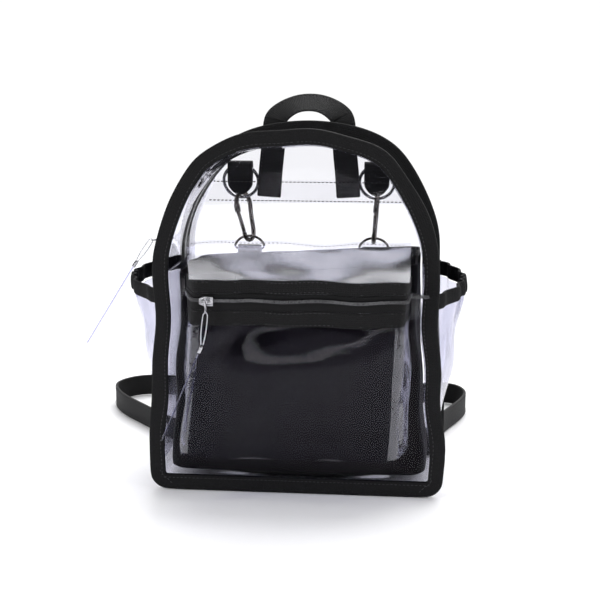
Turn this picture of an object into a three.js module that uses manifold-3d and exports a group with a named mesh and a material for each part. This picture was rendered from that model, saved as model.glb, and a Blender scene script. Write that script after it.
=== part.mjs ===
import * as THREE from "three";
import { mergeVertices } from "three/addons/utils/BufferGeometryUtils.js";
import Module from "manifold-3d";

// A small clear backpack. Lengths are millimetres. X runs to the viewer's right, Y away from the viewer
// towards the wearer, Z up from the floor, with the origin on the floor under the middle of the bag.

// Clearance left between pieces that lie against each other
const gap = 0.3;

// Main form: outer edge of the two bound seams
const bagWidth = 220;
const bagHeight = 286;
const bagDepth = 112;
const bottomCornerRadius = 14;

// Sheet and seams
const sheetWall = 0.8;
const bindingWidth = 12;
const bindingWall = 1.0;
const bottomFlatWidth = 120;
const bottomFlatDepth = 34;
const archSag = 2.5;
const panelSwell = 3;

// Main zip, round the arch
const zipEndHeight = 176;
const zipCentreY = 8;
const zipTapeWidth = 14;
const zipCoilWidth = 5;
const zipCoilHeight = 2.4;

// Reinforcing strip inside the back
const patchBottom = 217;
const patchHeight = 19;

// Side pockets
const sidePocketFoot = 24;
const sidePocketMouth = 147;
const sidePocketMouthRise = 14;
const sidePocketSwellLeft = 38;
const sidePocketSwellRight = 30;
const hemHeight = 12;
const hemWall = 2.2;

// Pouch that fills the lower half
const pouchWall = 1.6;
const pouchLooseness = 1.2;
const pouchDepth = 100;
const pouchCornerRadius = 14;
const pouchHeightLeft = 172;
const pouchHeightRight = 184;

// Box pocket on the front
const pocketWidth = 172;
const pocketCentreX = 2.5;
const pocketSeamHeight = 196.5;
const pocketFoot = 39;
const pocketDepth = 37;
const pocketTopDrop = 20.6;
const pocketCornerRadius = 7;
const pocketFlange = 4;
const pocketFaceSwell = 3;
const bandHeight = 34;
const bandWall = 1.4;
const pocketZipDrop = 15;
const pocketTapeWidth = 8;
const pocketCoilWidth = 2.4;
const pocketCoilHeight = 2.0;

// Zip sliders and their pulls
const sliderLength = 10.5;
const sliderWidth = 7;
const sliderHeight = 3;
const linkWire = 1.2;
const sliderEyeWall = 0.9;
const cordThickness = 1.0;
const ferruleWidth = 4;
const ferruleLength = 6;
const tagWidth = 7;
const pocketSliderInset = 21.5;
const pocketSliderX = pocketCentreX - pocketWidth / 2 + pocketSliderInset;
const pocketLinkLength = 11;
const pocketCordFall = 24;
const pocketTagLength = 80;
const mainSliderHeight = 193;
const mainLinkLength = 22;
const mainCordFall = 21;
const mainTagLength = 82;

// Webbing, rings and snap hooks
const webWidth = 20;
const webWall = 1.6;
const tabWidth = 21;
const ringRadius = 14.8;
const ringWire = 3.2;
const ringTilt = 15;
const ringHeight = 233.5;
const hookRod = 4;
const hookLength = 41;
const hookTopWidth = 17;
const hookBottomWidth = 11.8;
const hookTurnLeft = 58;
const hookTurnRight = 90;
const hookLeanLeft = 11;
const hookLeanRight = -4;
const gateRod = 3.4;
const hingeEye = 4;
const hingePin = 1.2;
const hingeLeaf = 1.6;
const hingeCheek = 1.0;
const baseRingWidth = 28;
const baseRingHeight = 14;
const baseRingWire = 2.6;
const strapWidth = 20;
const strapWall = 2.4;
const strapReach = 170;
const strapFold = 15;
const handleLegSpacing = 65;
const handleCentreX = -0.5;
const handleFoot = 221.5;
const handleRise = 14;
const handleTilt = 42;
const tabSpacing = 115;
const tabCentreX = -1;

// Half outline of the bound seam: heights as shares of the bag's height, widths as shares of half its width
const outlineRows = [
  { up: 0.049, out: 1.055 },
  { up: 0.15, out: 1.064 },
  { up: 0.315, out: 1.014 },
  { up: 0.465, out: 1.0 },
  { up: 0.664, out: 1.0 },
  { up: 0.717, out: 0.973 },
  { up: 0.762, out: 0.93 },
  { up: 0.811, out: 0.873 },
  { up: 0.864, out: 0.795 },
  { up: 0.916, out: 0.7 },
  { up: 0.951, out: 0.58 },
  { up: 0.976, out: 0.43 },
  { up: 0.992, out: 0.25 },
  { up: 1.0, out: 0 },
];

// Swell of a side pocket: share of the way up to the mouth, share of the swell
const sidePocketRows = [
  { up: 0, out: 0 },
  { up: 0.2, out: 0.3 },
  { up: 0.45, out: 0.6 },
  { up: 0.72, out: 0.86 },
  { up: 1, out: 1 },
];

// Plan of the box pocket: how far its front corners stand in from the seam at the foot and at the band,
// as shares of the pocket's width
const pocketCornerRows = [
  { up: 0, left: -0.01, right: 0.045 },
  { up: 0.45, left: 0.025, right: 0.035 },
  { up: 0.87, left: 0.06, right: 0.01 },
  { up: 1, left: 0.06, right: 0.01 },
];

// Waves of the pocket's top: share across, rise as a share of the pocket's depth
const pocketTopWaves = [
  { across: 0, rise: 0 },
  { across: 0.12, rise: 0.09 },
  { across: 0.3, rise: -0.04 },
  { across: 0.5, rise: 0.06 },
  { across: 0.68, rise: -0.05 },
  { across: 0.88, rise: 0.1 },
  { across: 1, rise: 0 },
];

// Lay of the shoulder straps from under their rings to the bag's lower back corners: out as a share of half
// the bag's width, back as a share of their reach, up as a share of the ring's height, and how far the
// webbing has turned on edge
const strapRouteLeft = [
  { out: 0.475, back: 0.12, up: 0.75, turn: 0 },
  { out: 0.53, back: 0.235, up: 0.5, turn: 0.1 },
  { out: 0.68, back: 0.465, up: 0.21, turn: 0.5 },
  { out: 1.0, back: 0.8, up: 0.02, turn: 0.92 },
  { out: 1.36, back: 1, up: 0, turn: 1 },
  { out: 1.68, back: 0.99, up: 0, turn: 1 },
  { out: 1.845, back: 0.83, up: 0, turn: 1 },
  { out: 1.73, back: 0.6, up: 0, turn: 1 },
  { out: 1.445, back: 0.36, up: 0, turn: 1 },
  { out: 1.15, back: 0.13, up: 0, turn: 1 },
  { out: 0.93, back: 0.02, up: 0, turn: 1 },
  { out: 0.66, back: 0, up: 0, turn: 1 },
];
const strapRouteRight = [
  { out: 0.45, back: 0.12, up: 0.75, turn: 0 },
  { out: 0.49, back: 0.235, up: 0.5, turn: 0.1 },
  { out: 0.56, back: 0.5, up: 0.2, turn: 0.5 },
  { out: 0.72, back: 0.84, up: 0.02, turn: 0.92 },
  { out: 0.95, back: 1, up: 0, turn: 1 },
  { out: 1.15, back: 0.97, up: 0, turn: 1 },
  { out: 1.24, back: 0.82, up: 0, turn: 1 },
  { out: 1.18, back: 0.62, up: 0, turn: 1 },
  { out: 1.06, back: 0.4, up: 0, turn: 1 },
  { out: 0.97, back: 0.15, up: 0, turn: 1 },
  { out: 0.85, back: 0.02, up: 0, turn: 1 },
  { out: 0.6, back: 0, up: 0, turn: 1 },
];

const halfDepth = bagDepth / 2;
const frontFace = -halfDepth + bindingWall + gap;
const flangeFace = halfDepth - bindingWall - gap - sheetWall - gap;
const bindingInnerY = flangeFace - sheetWall - gap - bindingWall;
const seamInset = bindingWall + gap;
const gussetInset = bindingWidth + gap;
const backFace = -frontFace;

const black = 0x0d0d10;
const clear = 0xe9edf4;

function material(color, roughness, metalness) {
  return new THREE.MeshStandardMaterial({ color, roughness, metalness });
}

const clearSheet = () => {
  const made = material(clear, 0.08, 0);
  made.transparent = true;
  made.opacity = 0.3;
  return made;
};
const blackTape = () => material(black, 0.85, 0);
const blackWebbing = () => material(0x111114, 0.75, 0);
const zipBlack = () => material(0x16161a, 0.5, 0);
const chrome = () => material(0xc9ccd2, 0.2, 1);
const gunmetal = () => material(0x4a4440, 0.35, 1);
const clearCord = () => material(0xdadde6, 0.3, 0);

// Reads a table of named columns at a place along its first column, in straight lines between the rows
function readRow(rows, key, place, column) {
  const last = rows.length - 1;
  let i = 0;
  while (i < last - 1 && rows[i + 1][key] < place) i += 1;
  const span = rows[i + 1][key] - rows[i][key];
  const share = THREE.MathUtils.clamp((place - rows[i][key]) / span, 0, 1);
  return THREE.MathUtils.lerp(rows[i][column], rows[i + 1][column], share);
}

const smooth = (share) => THREE.MathUtils.smoothstep(share, 0, 1);

// Outline of the bound seam as one closed path in X and Z, from the middle of the bottom round by the right
function seamOutline() {
  const side = outlineRows.map((row) => new THREE.Vector2((row.out * bagWidth) / 2, row.up * bagHeight));
  const arch = [...side, ...side.slice(0, -1).reverse().map((p) => new THREE.Vector2(-p.x, p.y))];
  const cornerX = side[0].x - bottomCornerRadius;
  const path = new THREE.Path();
  path.moveTo(0, 0);
  path.lineTo(cornerX, 0);
  path.absarc(cornerX, bottomCornerRadius, bottomCornerRadius, -Math.PI / 2, 0);
  path.splineThru(arch.slice(1));
  path.absarc(-cornerX, bottomCornerRadius, bottomCornerRadius, Math.PI, 1.5 * Math.PI);
  path.lineTo(0, 0);
  return path;
}

const outline = seamOutline();
const outlineLength = outline.getLength();
const bottomShare = ((outlineRows[0].out * bagWidth) / 2 - bottomCornerRadius) / outlineLength;
const cornerShare = (Math.PI * bottomCornerRadius) / 2 / outlineLength;

// Point of the outline pushed inwards by an inset, at a distance Y
function outlinePoint(share, inset, y) {
  const round = share - Math.floor(share);
  const at = outline.getPoint(round);
  const along = outline.getTangent(round);
  return new THREE.Vector3(at.x - along.y * inset, y, at.y + along.x * inset);
}

// Share of the way round at which the right side, pushed inwards by an inset, reaches a height
function shareAtHeight(height, inset = 0) {
  let low = bottomShare + cornerShare;
  let high = 0.5;
  for (let i = 0; i < 40; i += 1) {
    const middle = (low + high) / 2;
    if (outlinePoint(middle, inset, 0).z < height) low = middle;
    else high = middle;
  }
  return low;
}

// Half width at a height, of the outline pushed inwards by an inset
function halfWidthAt(height, inset = 0) {
  return outlinePoint(shareAtHeight(height, inset), inset, 0).x;
}

function spread(from, to, count) {
  return Array.from({ length: count + 1 }, (_, i) => THREE.MathUtils.lerp(from, to, i / count));
}

const flatShare = bottomFlatWidth / 2 / outlineLength;
const zipEndShare = shareAtHeight(zipEndHeight);

// Places round the outline where every seam piece has its corners
const rightStations = [
  ...spread(0, flatShare, 2),
  bottomShare,
  ...spread(bottomShare, bottomShare + cornerShare, 4).slice(1),
  ...spread(bottomShare + cornerShare, zipEndShare, 5).slice(1),
  ...spread(zipEndShare, 0.5, 11).slice(1),
];
const loopStations = [...rightStations, ...rightStations.slice(1, -1).reverse().map((s) => 1 - s)];
const archStations = rightStations.filter((s) => s > zipEndShare + 1e-9);
const footStations = rightStations.filter((s) => s < zipEndShare - 1e-9);
const seamCut = gap / 2 / outlineLength;
const archRun = [
  zipEndShare + seamCut,
  ...archStations,
  ...archStations.slice(0, -1).reverse().map((s) => 1 - s),
  1 - zipEndShare - seamCut,
];
const footRun = [
  seamCut - zipEndShare,
  ...footStations.slice(1).reverse().map((s) => -s),
  ...footStations,
  zipEndShare - seamCut,
];

// Inset of the gusset's outer face: it sags to the floor under the bag and a little between the arches
function gussetInsetAt(share, y) {
  const round = share > 0.5 ? 1 - share : Math.abs(share);
  const across = Math.abs(y);
  const flat = bottomFlatDepth / 2;
  const rim = bindingInnerY - gap;
  const lengthwise = THREE.MathUtils.clamp((round - flatShare) / (bottomShare - flatShare), 0, 1);
  const depthwise = THREE.MathUtils.clamp((across - flat) / (rim - flat), 0, 1);
  const drop = gussetInset * Math.max(0, 1 - lengthwise - depthwise);
  const arch = smooth((round - zipEndShare) / (0.5 - zipEndShare));
  const sag = archSag * arch * (1 - (across / flangeFace) ** 2);
  return gussetInset - drop + sag;
}

// Makes a closed surface from rings of points, skinned one to the next, with flat ends or joined to a loop.
// From farWallFrom on, the faces are split the other way, so that both walls of a sheet bend alike.
function skinRings(rings, endFaces, farWallFrom = rings[0].length) {
  const count = rings[0].length;
  const positions = rings.flat().flatMap((p) => [p.x, p.y, p.z]);
  const faces = [];
  const spans = endFaces ? rings.length - 1 : rings.length;
  for (let r = 0; r < spans; r += 1) {
    const here = r * count;
    const next = ((r + 1) % rings.length) * count;
    for (let i = 0; i < count; i += 1) {
      const j = (i + 1) % count;
      if (i >= farWallFrom && j > 0) faces.push([here + i, here + j, next + i], [here + j, next + j, next + i]);
      else faces.push([here + i, here + j, next + j], [here + i, next + j, next + i]);
    }
  }
  if (endFaces) {
    const last = (rings.length - 1) * count;
    for (const [a, b, c] of endFaces) {
      faces.push([c, b, a], [last + a, last + b, last + c]);
    }
  }
  return closedGeometry(positions, faces);
}

// Builds the geometry and turns its faces outwards
function closedGeometry(positions, faces) {
  let volume = 0;
  const corner = (i) => new THREE.Vector3().fromArray(positions, 3 * i);
  for (const [a, b, c] of faces) volume += corner(a).dot(corner(b).cross(corner(c)));
  const index = faces.flatMap(([a, b, c]) => (volume < 0 ? [a, c, b] : [a, b, c]));
  const geometry = new THREE.BufferGeometry();
  geometry.setAttribute("position", new THREE.Float32BufferAttribute(positions, 3));
  geometry.setIndex(index);
  geometry.computeVertexNormals();
  return geometry;
}

// Sweeps a section of inset and Y round the outline
function sweepSection(sectionAt, stations, loop) {
  const rings = stations.map((share) => sectionAt(share).map(([inset, y]) => outlinePoint(share, inset, y)));
  return skinRings(rings, loop ? null : pairFaces(rings[0].length));
}

// A sheet of even wall over a grid of points, thickened along its normals
function sheetSolid(grid, wall) {
  const rows = grid.length;
  const columns = grid[0].length;
  const normalAt = (r, c) => {
    const down = grid[Math.min(r + 1, rows - 1)][c].clone().sub(grid[Math.max(r - 1, 0)][c]);
    const across = grid[r][Math.min(c + 1, columns - 1)].clone().sub(grid[r][Math.max(c - 1, 0)]);
    return across.cross(down).normalize();
  };
  const rings = grid.map((row, r) => {
    const far = row.map((p, c) => p.clone().addScaledVector(normalAt(r, c), wall));
    return [...row, ...far.reverse()];
  });
  return skinRings(rings, pairFaces(2 * columns), columns);
}

// End faces of a ring of points, in strips between its first and second half
function pairFaces(count) {
  const faces = [];
  for (let i = 0; i + 1 <= count - 2 - i; i += 1) {
    const far = count - 1 - i;
    faces.push([i, i + 1, far]);
    if (i + 1 < far - 1) faces.push([i + 1, far - 1, far]);
  }
  return faces;
}

// A ribbon of even width and wall along a path of points, with its width direction given at each
function ribbonSolid(stops, width, wall) {
  const rings = stops.map((stop, i) => {
    const before = stops[Math.max(i - 1, 0)].at;
    const after = stops[Math.min(i + 1, stops.length - 1)].at;
    const along = after.clone().sub(before).normalize();
    const across = stop.across.clone().addScaledVector(along, -stop.across.dot(along)).normalize();
    const out = along.clone().cross(across);
    const corner = (a, b) => {
      const p = stop.at.clone().addScaledVector(across, (a * width) / 2);
      return p.addScaledVector(out, (b * wall) / 2);
    };
    return [corner(-1, -1), corner(1, -1), corner(1, 1), corner(-1, 1)];
  });
  return skinRings(rings, pairFaces(4));
}

// A round rod along a curve
function rodAlong(curve, radius, steps, sides) {
  const section = new THREE.Shape();
  for (let i = 0; i < sides; i += 1) {
    const turn = (2 * Math.PI * i) / sides;
    const x = radius * Math.cos(turn);
    const y = radius * Math.sin(turn);
    if (i === 0) section.moveTo(x, y);
    else section.lineTo(x, y);
  }
  section.closePath();
  return new THREE.ExtrudeGeometry(section, { steps, extrudePath: curve, curveSegments: 1, bevelEnabled: false });
}

const solids = await Module();
solids.setup();

// Turns a geometry into a solid for joins and cuts
function solidOf(geometry) {
  const plain = geometry.clone();
  plain.deleteAttribute("normal");
  plain.deleteAttribute("uv");
  const merged = mergeVertices(plain, 1e-4);
  const mesh = new solids.Mesh({
    numProp: 3,
    vertProperties: Float32Array.from(merged.attributes.position.array),
    triVerts: Uint32Array.from(merged.index.array),
  });
  return new solids.Manifold(mesh);
}

function geometryOf(solid) {
  const mesh = solid.getMesh();
  const positions = new Float32Array(mesh.numVert * 3);
  for (let i = 0; i < mesh.numVert; i += 1) {
    positions.set(mesh.vertProperties.subarray(i * mesh.numProp, i * mesh.numProp + 3), i * 3);
  }
  const geometry = new THREE.BufferGeometry();
  geometry.setAttribute("position", new THREE.BufferAttribute(positions, 3));
  geometry.setIndex(new THREE.BufferAttribute(mesh.triVerts, 1));
  geometry.computeVertexNormals();
  return geometry;
}

const backpack = new THREE.Group();
backpack.name = "clear_backpack";

function addPiece(name, geometry, finish, parent = backpack) {
  const mesh = new THREE.Mesh(geometry, finish);
  mesh.name = name;
  parent.add(mesh);
  return mesh;
}

// Bound seams: a tape folded over the raw edges of panel and gusset
function bindingSection(side) {
  const outerY = halfDepth;
  const slotOuter = outerY - bindingWall;
  const slotInner = bindingInnerY + bindingWall;
  const soft = bindingWall * 0.8;
  return [
    [soft, outerY],
    [bindingWidth, outerY],
    [bindingWidth, slotOuter],
    [bindingWall, slotOuter],
    [bindingWall, slotInner],
    [bindingWidth, slotInner],
    [bindingWidth, bindingInnerY],
    [soft, bindingInnerY],
    [0, bindingInnerY + soft],
    [0, outerY - soft],
  ].map(([inset, y]) => [inset, side * y]);
}

addPiece("front_binding", sweepSection(() => bindingSection(-1), loopStations, true), blackTape());
addPiece("back_binding", sweepSection(() => bindingSection(1), loopStations, true), blackTape());

// Front and back panels: plates to the bound edge, with a soft swell above the box pocket and in the back
function swellAt(x, z, lowest) {
  const top = bagHeight - bindingWidth;
  const up = (z - lowest) / (top - lowest);
  if (up <= 0 || up >= 1) return 0;
  const across = Math.abs(x) / halfWidthAt(z, bindingWidth);
  return panelSwell * Math.sin(Math.PI * up) * Math.max(0, 1 - across ** 2);
}

function panelPlate(faceY, outward, lowest, fullness, innerRings) {
  const rings = [
    loopStations.map((share) => outlinePoint(share, seamInset, 0)),
    loopStations.map((share) => outlinePoint(share, bindingWidth, 0)),
  ];
  const middle = new THREE.Vector3(0, 0, bagHeight * 0.62);
  for (const share of innerRings) rings.push(rings[1].map((p) => p.clone().lerp(middle, share)));
  const count = loopStations.length;
  const flatRings = [...rings.flat(), middle];
  const outer = flatRings.map((p, i) => {
    const swell = i < 2 * count ? 0 : fullness * swellAt(p.x, p.z, lowest);
    return new THREE.Vector3(p.x, faceY + outward * swell, p.z);
  });
  const inner = outer.map((p) => new THREE.Vector3(p.x, p.y - outward * sheetWall, p.z));
  const faces = [];
  const far = outer.length;
  for (let r = 0; r < rings.length; r += 1) {
    for (let i = 0; i < count; i += 1) {
      const j = (i + 1) % count;
      const a = r * count + i;
      const b = r * count + j;
      if (r === rings.length - 1) {
        const tip = outer.length - 1;
        faces.push([a, b, tip], [far + b, far + a, far + tip]);
      } else {
        const c = a + count;
        const d = b + count;
        faces.push([a, b, d], [a, d, c], [far + b, far + a, far + d], [far + a, far + c, far + d]);
      }
    }
  }
  for (let i = 0; i < count; i += 1) {
    const j = (i + 1) % count;
    faces.push([j, i, far + i], [j, far + i, far + j]);
  }
  return closedGeometry([...outer, ...inner].flatMap((p) => [p.x, p.y, p.z]), faces);
}

const frontPlate = panelPlate(frontFace, -1, pocketSeamHeight + 2 * pocketFlange, 1, [0.4, 0.72]);
addPiece("front_panel", frontPlate, clearSheet());
const backPlate = panelPlate(backFace, 1, patchBottom + patchHeight, -0.4, [0.2, 0.4]);
addPiece("back_panel", backPlate, clearSheet());

// Gusset strips: a flange that lies behind the panel inside the binding, and a wall across the bag's depth
function gussetSection(share, side, stops) {
  const outer = [[seamInset, side * (flangeFace - sheetWall)]];
  const inner = [[seamInset, side * flangeFace]];
  stops.forEach((y, i) => {
    const inset = gussetInsetAt(share, y);
    const first = i === 0;
    outer.push([inset, first ? side * (flangeFace - sheetWall) : y]);
    inner.push([inset + sheetWall, first ? side * flangeFace : y]);
  });
  return [...outer, ...inner.reverse()];
}

const zipHalf = zipTapeWidth + zipCoilWidth / 2 + 2 * gap;
const frontStops = spread(-flangeFace, zipCentreY - zipHalf, 3);
const backStops = spread(flangeFace, zipCentreY + zipHalf, 2);
addPiece(
  "gusset_front_strip",
  sweepSection((share) => gussetSection(share, -1, frontStops), archRun),
  clearSheet(),
);
addPiece(
  "gusset_back_strip",
  sweepSection((share) => gussetSection(share, 1, backStops), archRun),
  clearSheet(),
);

// Lower gusset: one piece up both sides and under the bag, with a flange along each edge
const footStops = [
  -flangeFace,
  gap - bindingInnerY,
  -bottomFlatDepth / 2,
  bottomFlatDepth / 2,
  bindingInnerY - gap,
  flangeFace,
];

function lowerGussetSection(share) {
  const last = footStops.length - 1;
  const outer = [[seamInset, -(flangeFace - sheetWall)]];
  const inner = [[seamInset, -flangeFace]];
  footStops.forEach((y, i) => {
    const edge = i === 0 || i === last;
    const side = Math.sign(y);
    const inset = edge ? gussetInset : gussetInsetAt(share, y);
    outer.push([inset, edge ? side * (flangeFace - sheetWall) : y]);
    inner.push([inset + sheetWall, edge ? side * flangeFace : y]);
  });
  outer.push([seamInset, flangeFace - sheetWall]);
  inner.push([seamInset, flangeFace]);
  return [...outer, ...inner.reverse()];
}

addPiece("lower_gusset", sweepSection(lowerGussetSection, footRun), clearSheet());

// Main zip: two tapes and the coil between them
function stripSection(share, from, to, wall) {
  const stops = [from, (from + to) / 2, to];
  const outer = stops.map((y) => [gussetInsetAt(share, y), y]);
  const inner = stops.map((y) => [gussetInsetAt(share, y) + wall, y]).reverse();
  return [...outer, ...inner];
}

const tapeInner = zipCoilWidth / 2 + gap;
const tapeOuter = tapeInner + zipTapeWidth - gap;
addPiece(
  "zipper_tape_front",
  sweepSection((share) => stripSection(share, zipCentreY - tapeOuter, zipCentreY - tapeInner, sheetWall), archRun),
  zipBlack(),
);
addPiece(
  "zipper_tape_back",
  sweepSection((share) => stripSection(share, zipCentreY + tapeInner, zipCentreY + tapeOuter, sheetWall), archRun),
  zipBlack(),
);

function coilSection(share) {
  const base = gussetInsetAt(share, zipCentreY) + sheetWall;
  const half = zipCoilWidth / 2;
  return [
    [base, zipCentreY - half],
    [base - zipCoilHeight * 0.7, zipCentreY - half],
    [base - zipCoilHeight, zipCentreY - half * 0.5],
    [base - zipCoilHeight, zipCentreY + half * 0.5],
    [base - zipCoilHeight * 0.7, zipCentreY + half],
    [base, zipCentreY + half],
  ];
}

addPiece("zipper_coil", sweepSection(coilSection, archRun), zipBlack());

// Reinforcing strip sewn across the inside of the back, level with the webbing ends
function patchRow(height) {
  const half = halfWidthAt(height, gussetInset + sheetWall + gap);
  const y = backFace - sheetWall - gap;
  return spread(-half, half, 6).map((x) => new THREE.Vector3(x, y, height));
}

addPiece(
  "back_patch",
  sheetSolid(spread(patchBottom + patchHeight, patchBottom, 2).map(patchRow), -sheetWall),
  clearSheet(),
);

// Side pockets: a sheet that swells out to a gathered hem
const sideRim = bindingInnerY - gap - sheetWall;

function mouthHeight(y) {
  return sidePocketMouth + (sidePocketMouthRise * (y + sideRim)) / (2 * sideRim);
}

function sidePocketPoint(side, swell, up, across) {
  const y = across * sideRim;
  const height = THREE.MathUtils.lerp(sidePocketFoot, mouthHeight(y), up);
  const wall = halfWidthAt(height, gussetInset - 2 * gap);
  const out = readRow(sidePocketRows, "up", up, "out") * swell * (1 - Math.abs(across) ** 2.4);
  return new THREE.Vector3(side * (wall + out), y, height);
}

function sidePocketSheet(side, swell) {
  const across = [-1, -0.8, -0.4, 0, 0.4, 0.8, 1];
  const grid = sidePocketRows.map((row) => across.map((a) => sidePocketPoint(side, swell, row.up, a)));
  return sheetSolid(grid, side * sheetWall);
}

// The hem is a fuller band on the sheet's upper edge, drawn in by elastic
function sidePocketHem(side, swell) {
  const across = spread(-1, 1, 10);
  const rise = [0, 0.5, 1];
  const grid = rise.map((r) =>
    across.map((a) => {
      const p = sidePocketPoint(side, swell, 1, a);
      const fullness = hemWall * 0.35 * Math.sin(Math.PI * r) * (1 - a * a);
      const y = p.y * (1 - hemWall / sideRim);
      return new THREE.Vector3(p.x + side * fullness, y, p.z + 2 * gap + r * hemHeight);
    }),
  );
  return sheetSolid(grid, side * hemWall);
}

for (const [name, side, swell] of [
  ["left", -1, sidePocketSwellLeft],
  ["right", 1, sidePocketSwellRight],
]) {
  addPiece(`side_pocket_${name}`, sidePocketSheet(side, swell), clearSheet());
  addPiece(`side_pocket_hem_${name}`, sidePocketHem(side, swell), blackTape());
}

// Pouch: an open bag inside the main compartment, resting on the sagging bottom
const pouchFloor = sheetWall + gap;
const pouchShelf = gussetInset + sheetWall + 2 * gap + pouchLooseness;

function pouchLoop(height, inset, corner) {
  const clearOfSide = gussetInset + sheetWall + pouchLooseness + inset;
  const halfX = halfWidthAt(Math.max(height, 2 * pouchShelf), clearOfSide);
  const halfY = pouchDepth / 2 - inset;
  const corners = [
    [1, -1, -0.5],
    [1, 1, 0],
    [-1, 1, 0.5],
    [-1, -1, 1],
  ].map(([sx, sy, start]) =>
    spread(start * Math.PI, (start + 0.5) * Math.PI, 3).map((turn) => {
      const x = sx * (halfX - corner) + corner * Math.cos(turn);
      const y = sy * (halfY - corner) + corner * Math.sin(turn);
      return new THREE.Vector3(x, y, height);
    }),
  );
  return corners.flatMap((bend, i) => {
    const next = corners[(i + 1) % corners.length];
    return [...bend, bend[bend.length - 1].clone().lerp(next[0], 0.5)];
  });
}

function tilted(points, up) {
  const rim = (x) => THREE.MathUtils.lerp(pouchHeightLeft, pouchHeightRight, x / bagWidth + 0.5);
  return points.map((p) => new THREE.Vector3(p.x, p.y, THREE.MathUtils.lerp(pouchShelf, rim(p.x), up)));
}

function pouchSolid() {
  const rows = [0, 0.33, 0.66, 1];
  const heightOf = (up) => THREE.MathUtils.lerp(pouchShelf, pouchHeightLeft, up);
  const shelf = pouchLoop(pouchShelf, 0, pouchCornerRadius);
  const flat = shelf.map((p) => {
    const x = (p.x * bottomFlatWidth) / bagWidth;
    return new THREE.Vector3(x, (p.y * bottomFlatDepth) / pouchDepth, pouchFloor);
  });
  const slope = shelf.map((p, i) => {
    const middle = flat[i].clone().lerp(p, 0.5);
    const under = gussetInsetAt(Math.abs(middle.x) / outlineLength, middle.y) + sheetWall;
    return middle.setZ(Math.min(pouchShelf - gap, under + 3 * pouchLooseness));
  });
  const raised = (ring) => ring.map((p) => new THREE.Vector3(p.x, p.y, p.z + pouchWall));
  const outer = rows.map((up) => tilted(pouchLoop(heightOf(up), 0, pouchCornerRadius), up));
  const inner = rows.map((up) => {
    const loop = tilted(pouchLoop(heightOf(up), pouchWall, pouchCornerRadius - pouchWall), up);
    return up === 0 ? loop.map((p) => p.setZ(p.z + pouchWall)) : loop;
  });
  const rings = [flat, slope, ...outer, ...inner.reverse(), raised(slope), raised(flat)];
  return skinRings(rings, pairFaces(rings[0].length));
}

addPiece("inner_pouch", pouchSolid(), blackTape());

// Box pocket: walls stand out from the front panel on a plan with round front corners
const pocketBack = frontFace - gap;
const pocketEdge = pocketBack - bandWall * 0.4;
const pocketFront = pocketBack - pocketDepth;
const pocketFaceTop = pocketSeamHeight - pocketTopDrop;

function pocketPlan(height, wallIn = 0) {
  const up = (height - pocketFoot) / (pocketFaceTop - pocketFoot);
  const seamLeft = pocketCentreX - pocketWidth / 2 + wallIn;
  const seamRight = pocketCentreX + pocketWidth / 2 - wallIn;
  const left = seamLeft + readRow(pocketCornerRows, "up", up, "left") * pocketWidth;
  const right = seamRight - readRow(pocketCornerRows, "up", up, "right") * pocketWidth;
  const front = pocketFront + wallIn;
  const r = pocketCornerRadius;
  const at = (x, y) => new THREE.Vector3(x, y, height);
  const line = (a, b, n) => spread(0, 1, n).map((s) => a.clone().lerp(b, s));
  const bend = (a, b, c) => new THREE.QuadraticBezierCurve3(a, b, c).getPoints(3);
  const leftTurn = at(left + ((seamLeft - left) * r) / pocketDepth, front + r);
  const rightTurn = at(right + ((seamRight - right) * r) / pocketDepth, front + r);
  const leftWall = line(at(seamLeft, pocketEdge), leftTurn, 2);
  const leftBend = bend(leftTurn, at(left, front), at(left + r, front));
  const rightBend = bend(at(right - r, front), at(right, front), rightTurn);
  const rightWall = line(rightTurn, at(seamRight, pocketEdge), 2);
  const face = line(at(left + r, front), at(right - r, front), 6);
  return { left: [...leftWall, ...leftBend.slice(1)], face, right: [...rightBend, ...rightWall.slice(1)] };
}

function wholePlan(height) {
  const plan = pocketPlan(height);
  return [...plan.left, ...plan.face.slice(1), ...plan.right.slice(1)];
}

const bandFoot = pocketFaceTop - bandHeight;
const zipLine = pocketFaceTop - pocketZipDrop;

function faceSwell(p, height) {
  const up = (height - pocketFoot) / (bandFoot - pocketFoot);
  const across = (p.x - pocketCentreX) / (pocketWidth / 2);
  p.y -= pocketFaceSwell * Math.sin(Math.PI * up) * Math.max(0, 1 - across * across * 1.3);
  return p;
}

const pocketRows = spread(bandFoot - gap, pocketFoot + 2 * gap + sheetWall, 5);

function pocketWallSheet(part) {
  const grid = pocketRows.map((height) => {
    const row = pocketPlan(height)[part];
    if (part === "face") return row.map((p) => faceSwell(p, height));
    const seam = part === "left" ? row.length - 1 : 0;
    row[seam] = row[seam].clone().lerp(row[Math.abs(seam - 1)], 2 * gap / pocketCornerRadius);
    return row;
  });
  return sheetSolid(grid, sheetWall);
}

addPiece("pocket_face", pocketWallSheet("face"), clearSheet());
addPiece("pocket_side_left", pocketWallSheet("left"), clearSheet());
addPiece("pocket_side_right", pocketWallSheet("right"), clearSheet());

// Foot of the box pocket
function pocketFootSheet() {
  const outer = wholePlan(pocketFoot);
  const upper = outer.map((p) => new THREE.Vector3(p.x, p.y, p.z + sheetWall));
  return skinRings([outer, upper], pairFaces(outer.length));
}

addPiece("pocket_foot", pocketFootSheet(), clearSheet());

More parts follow.
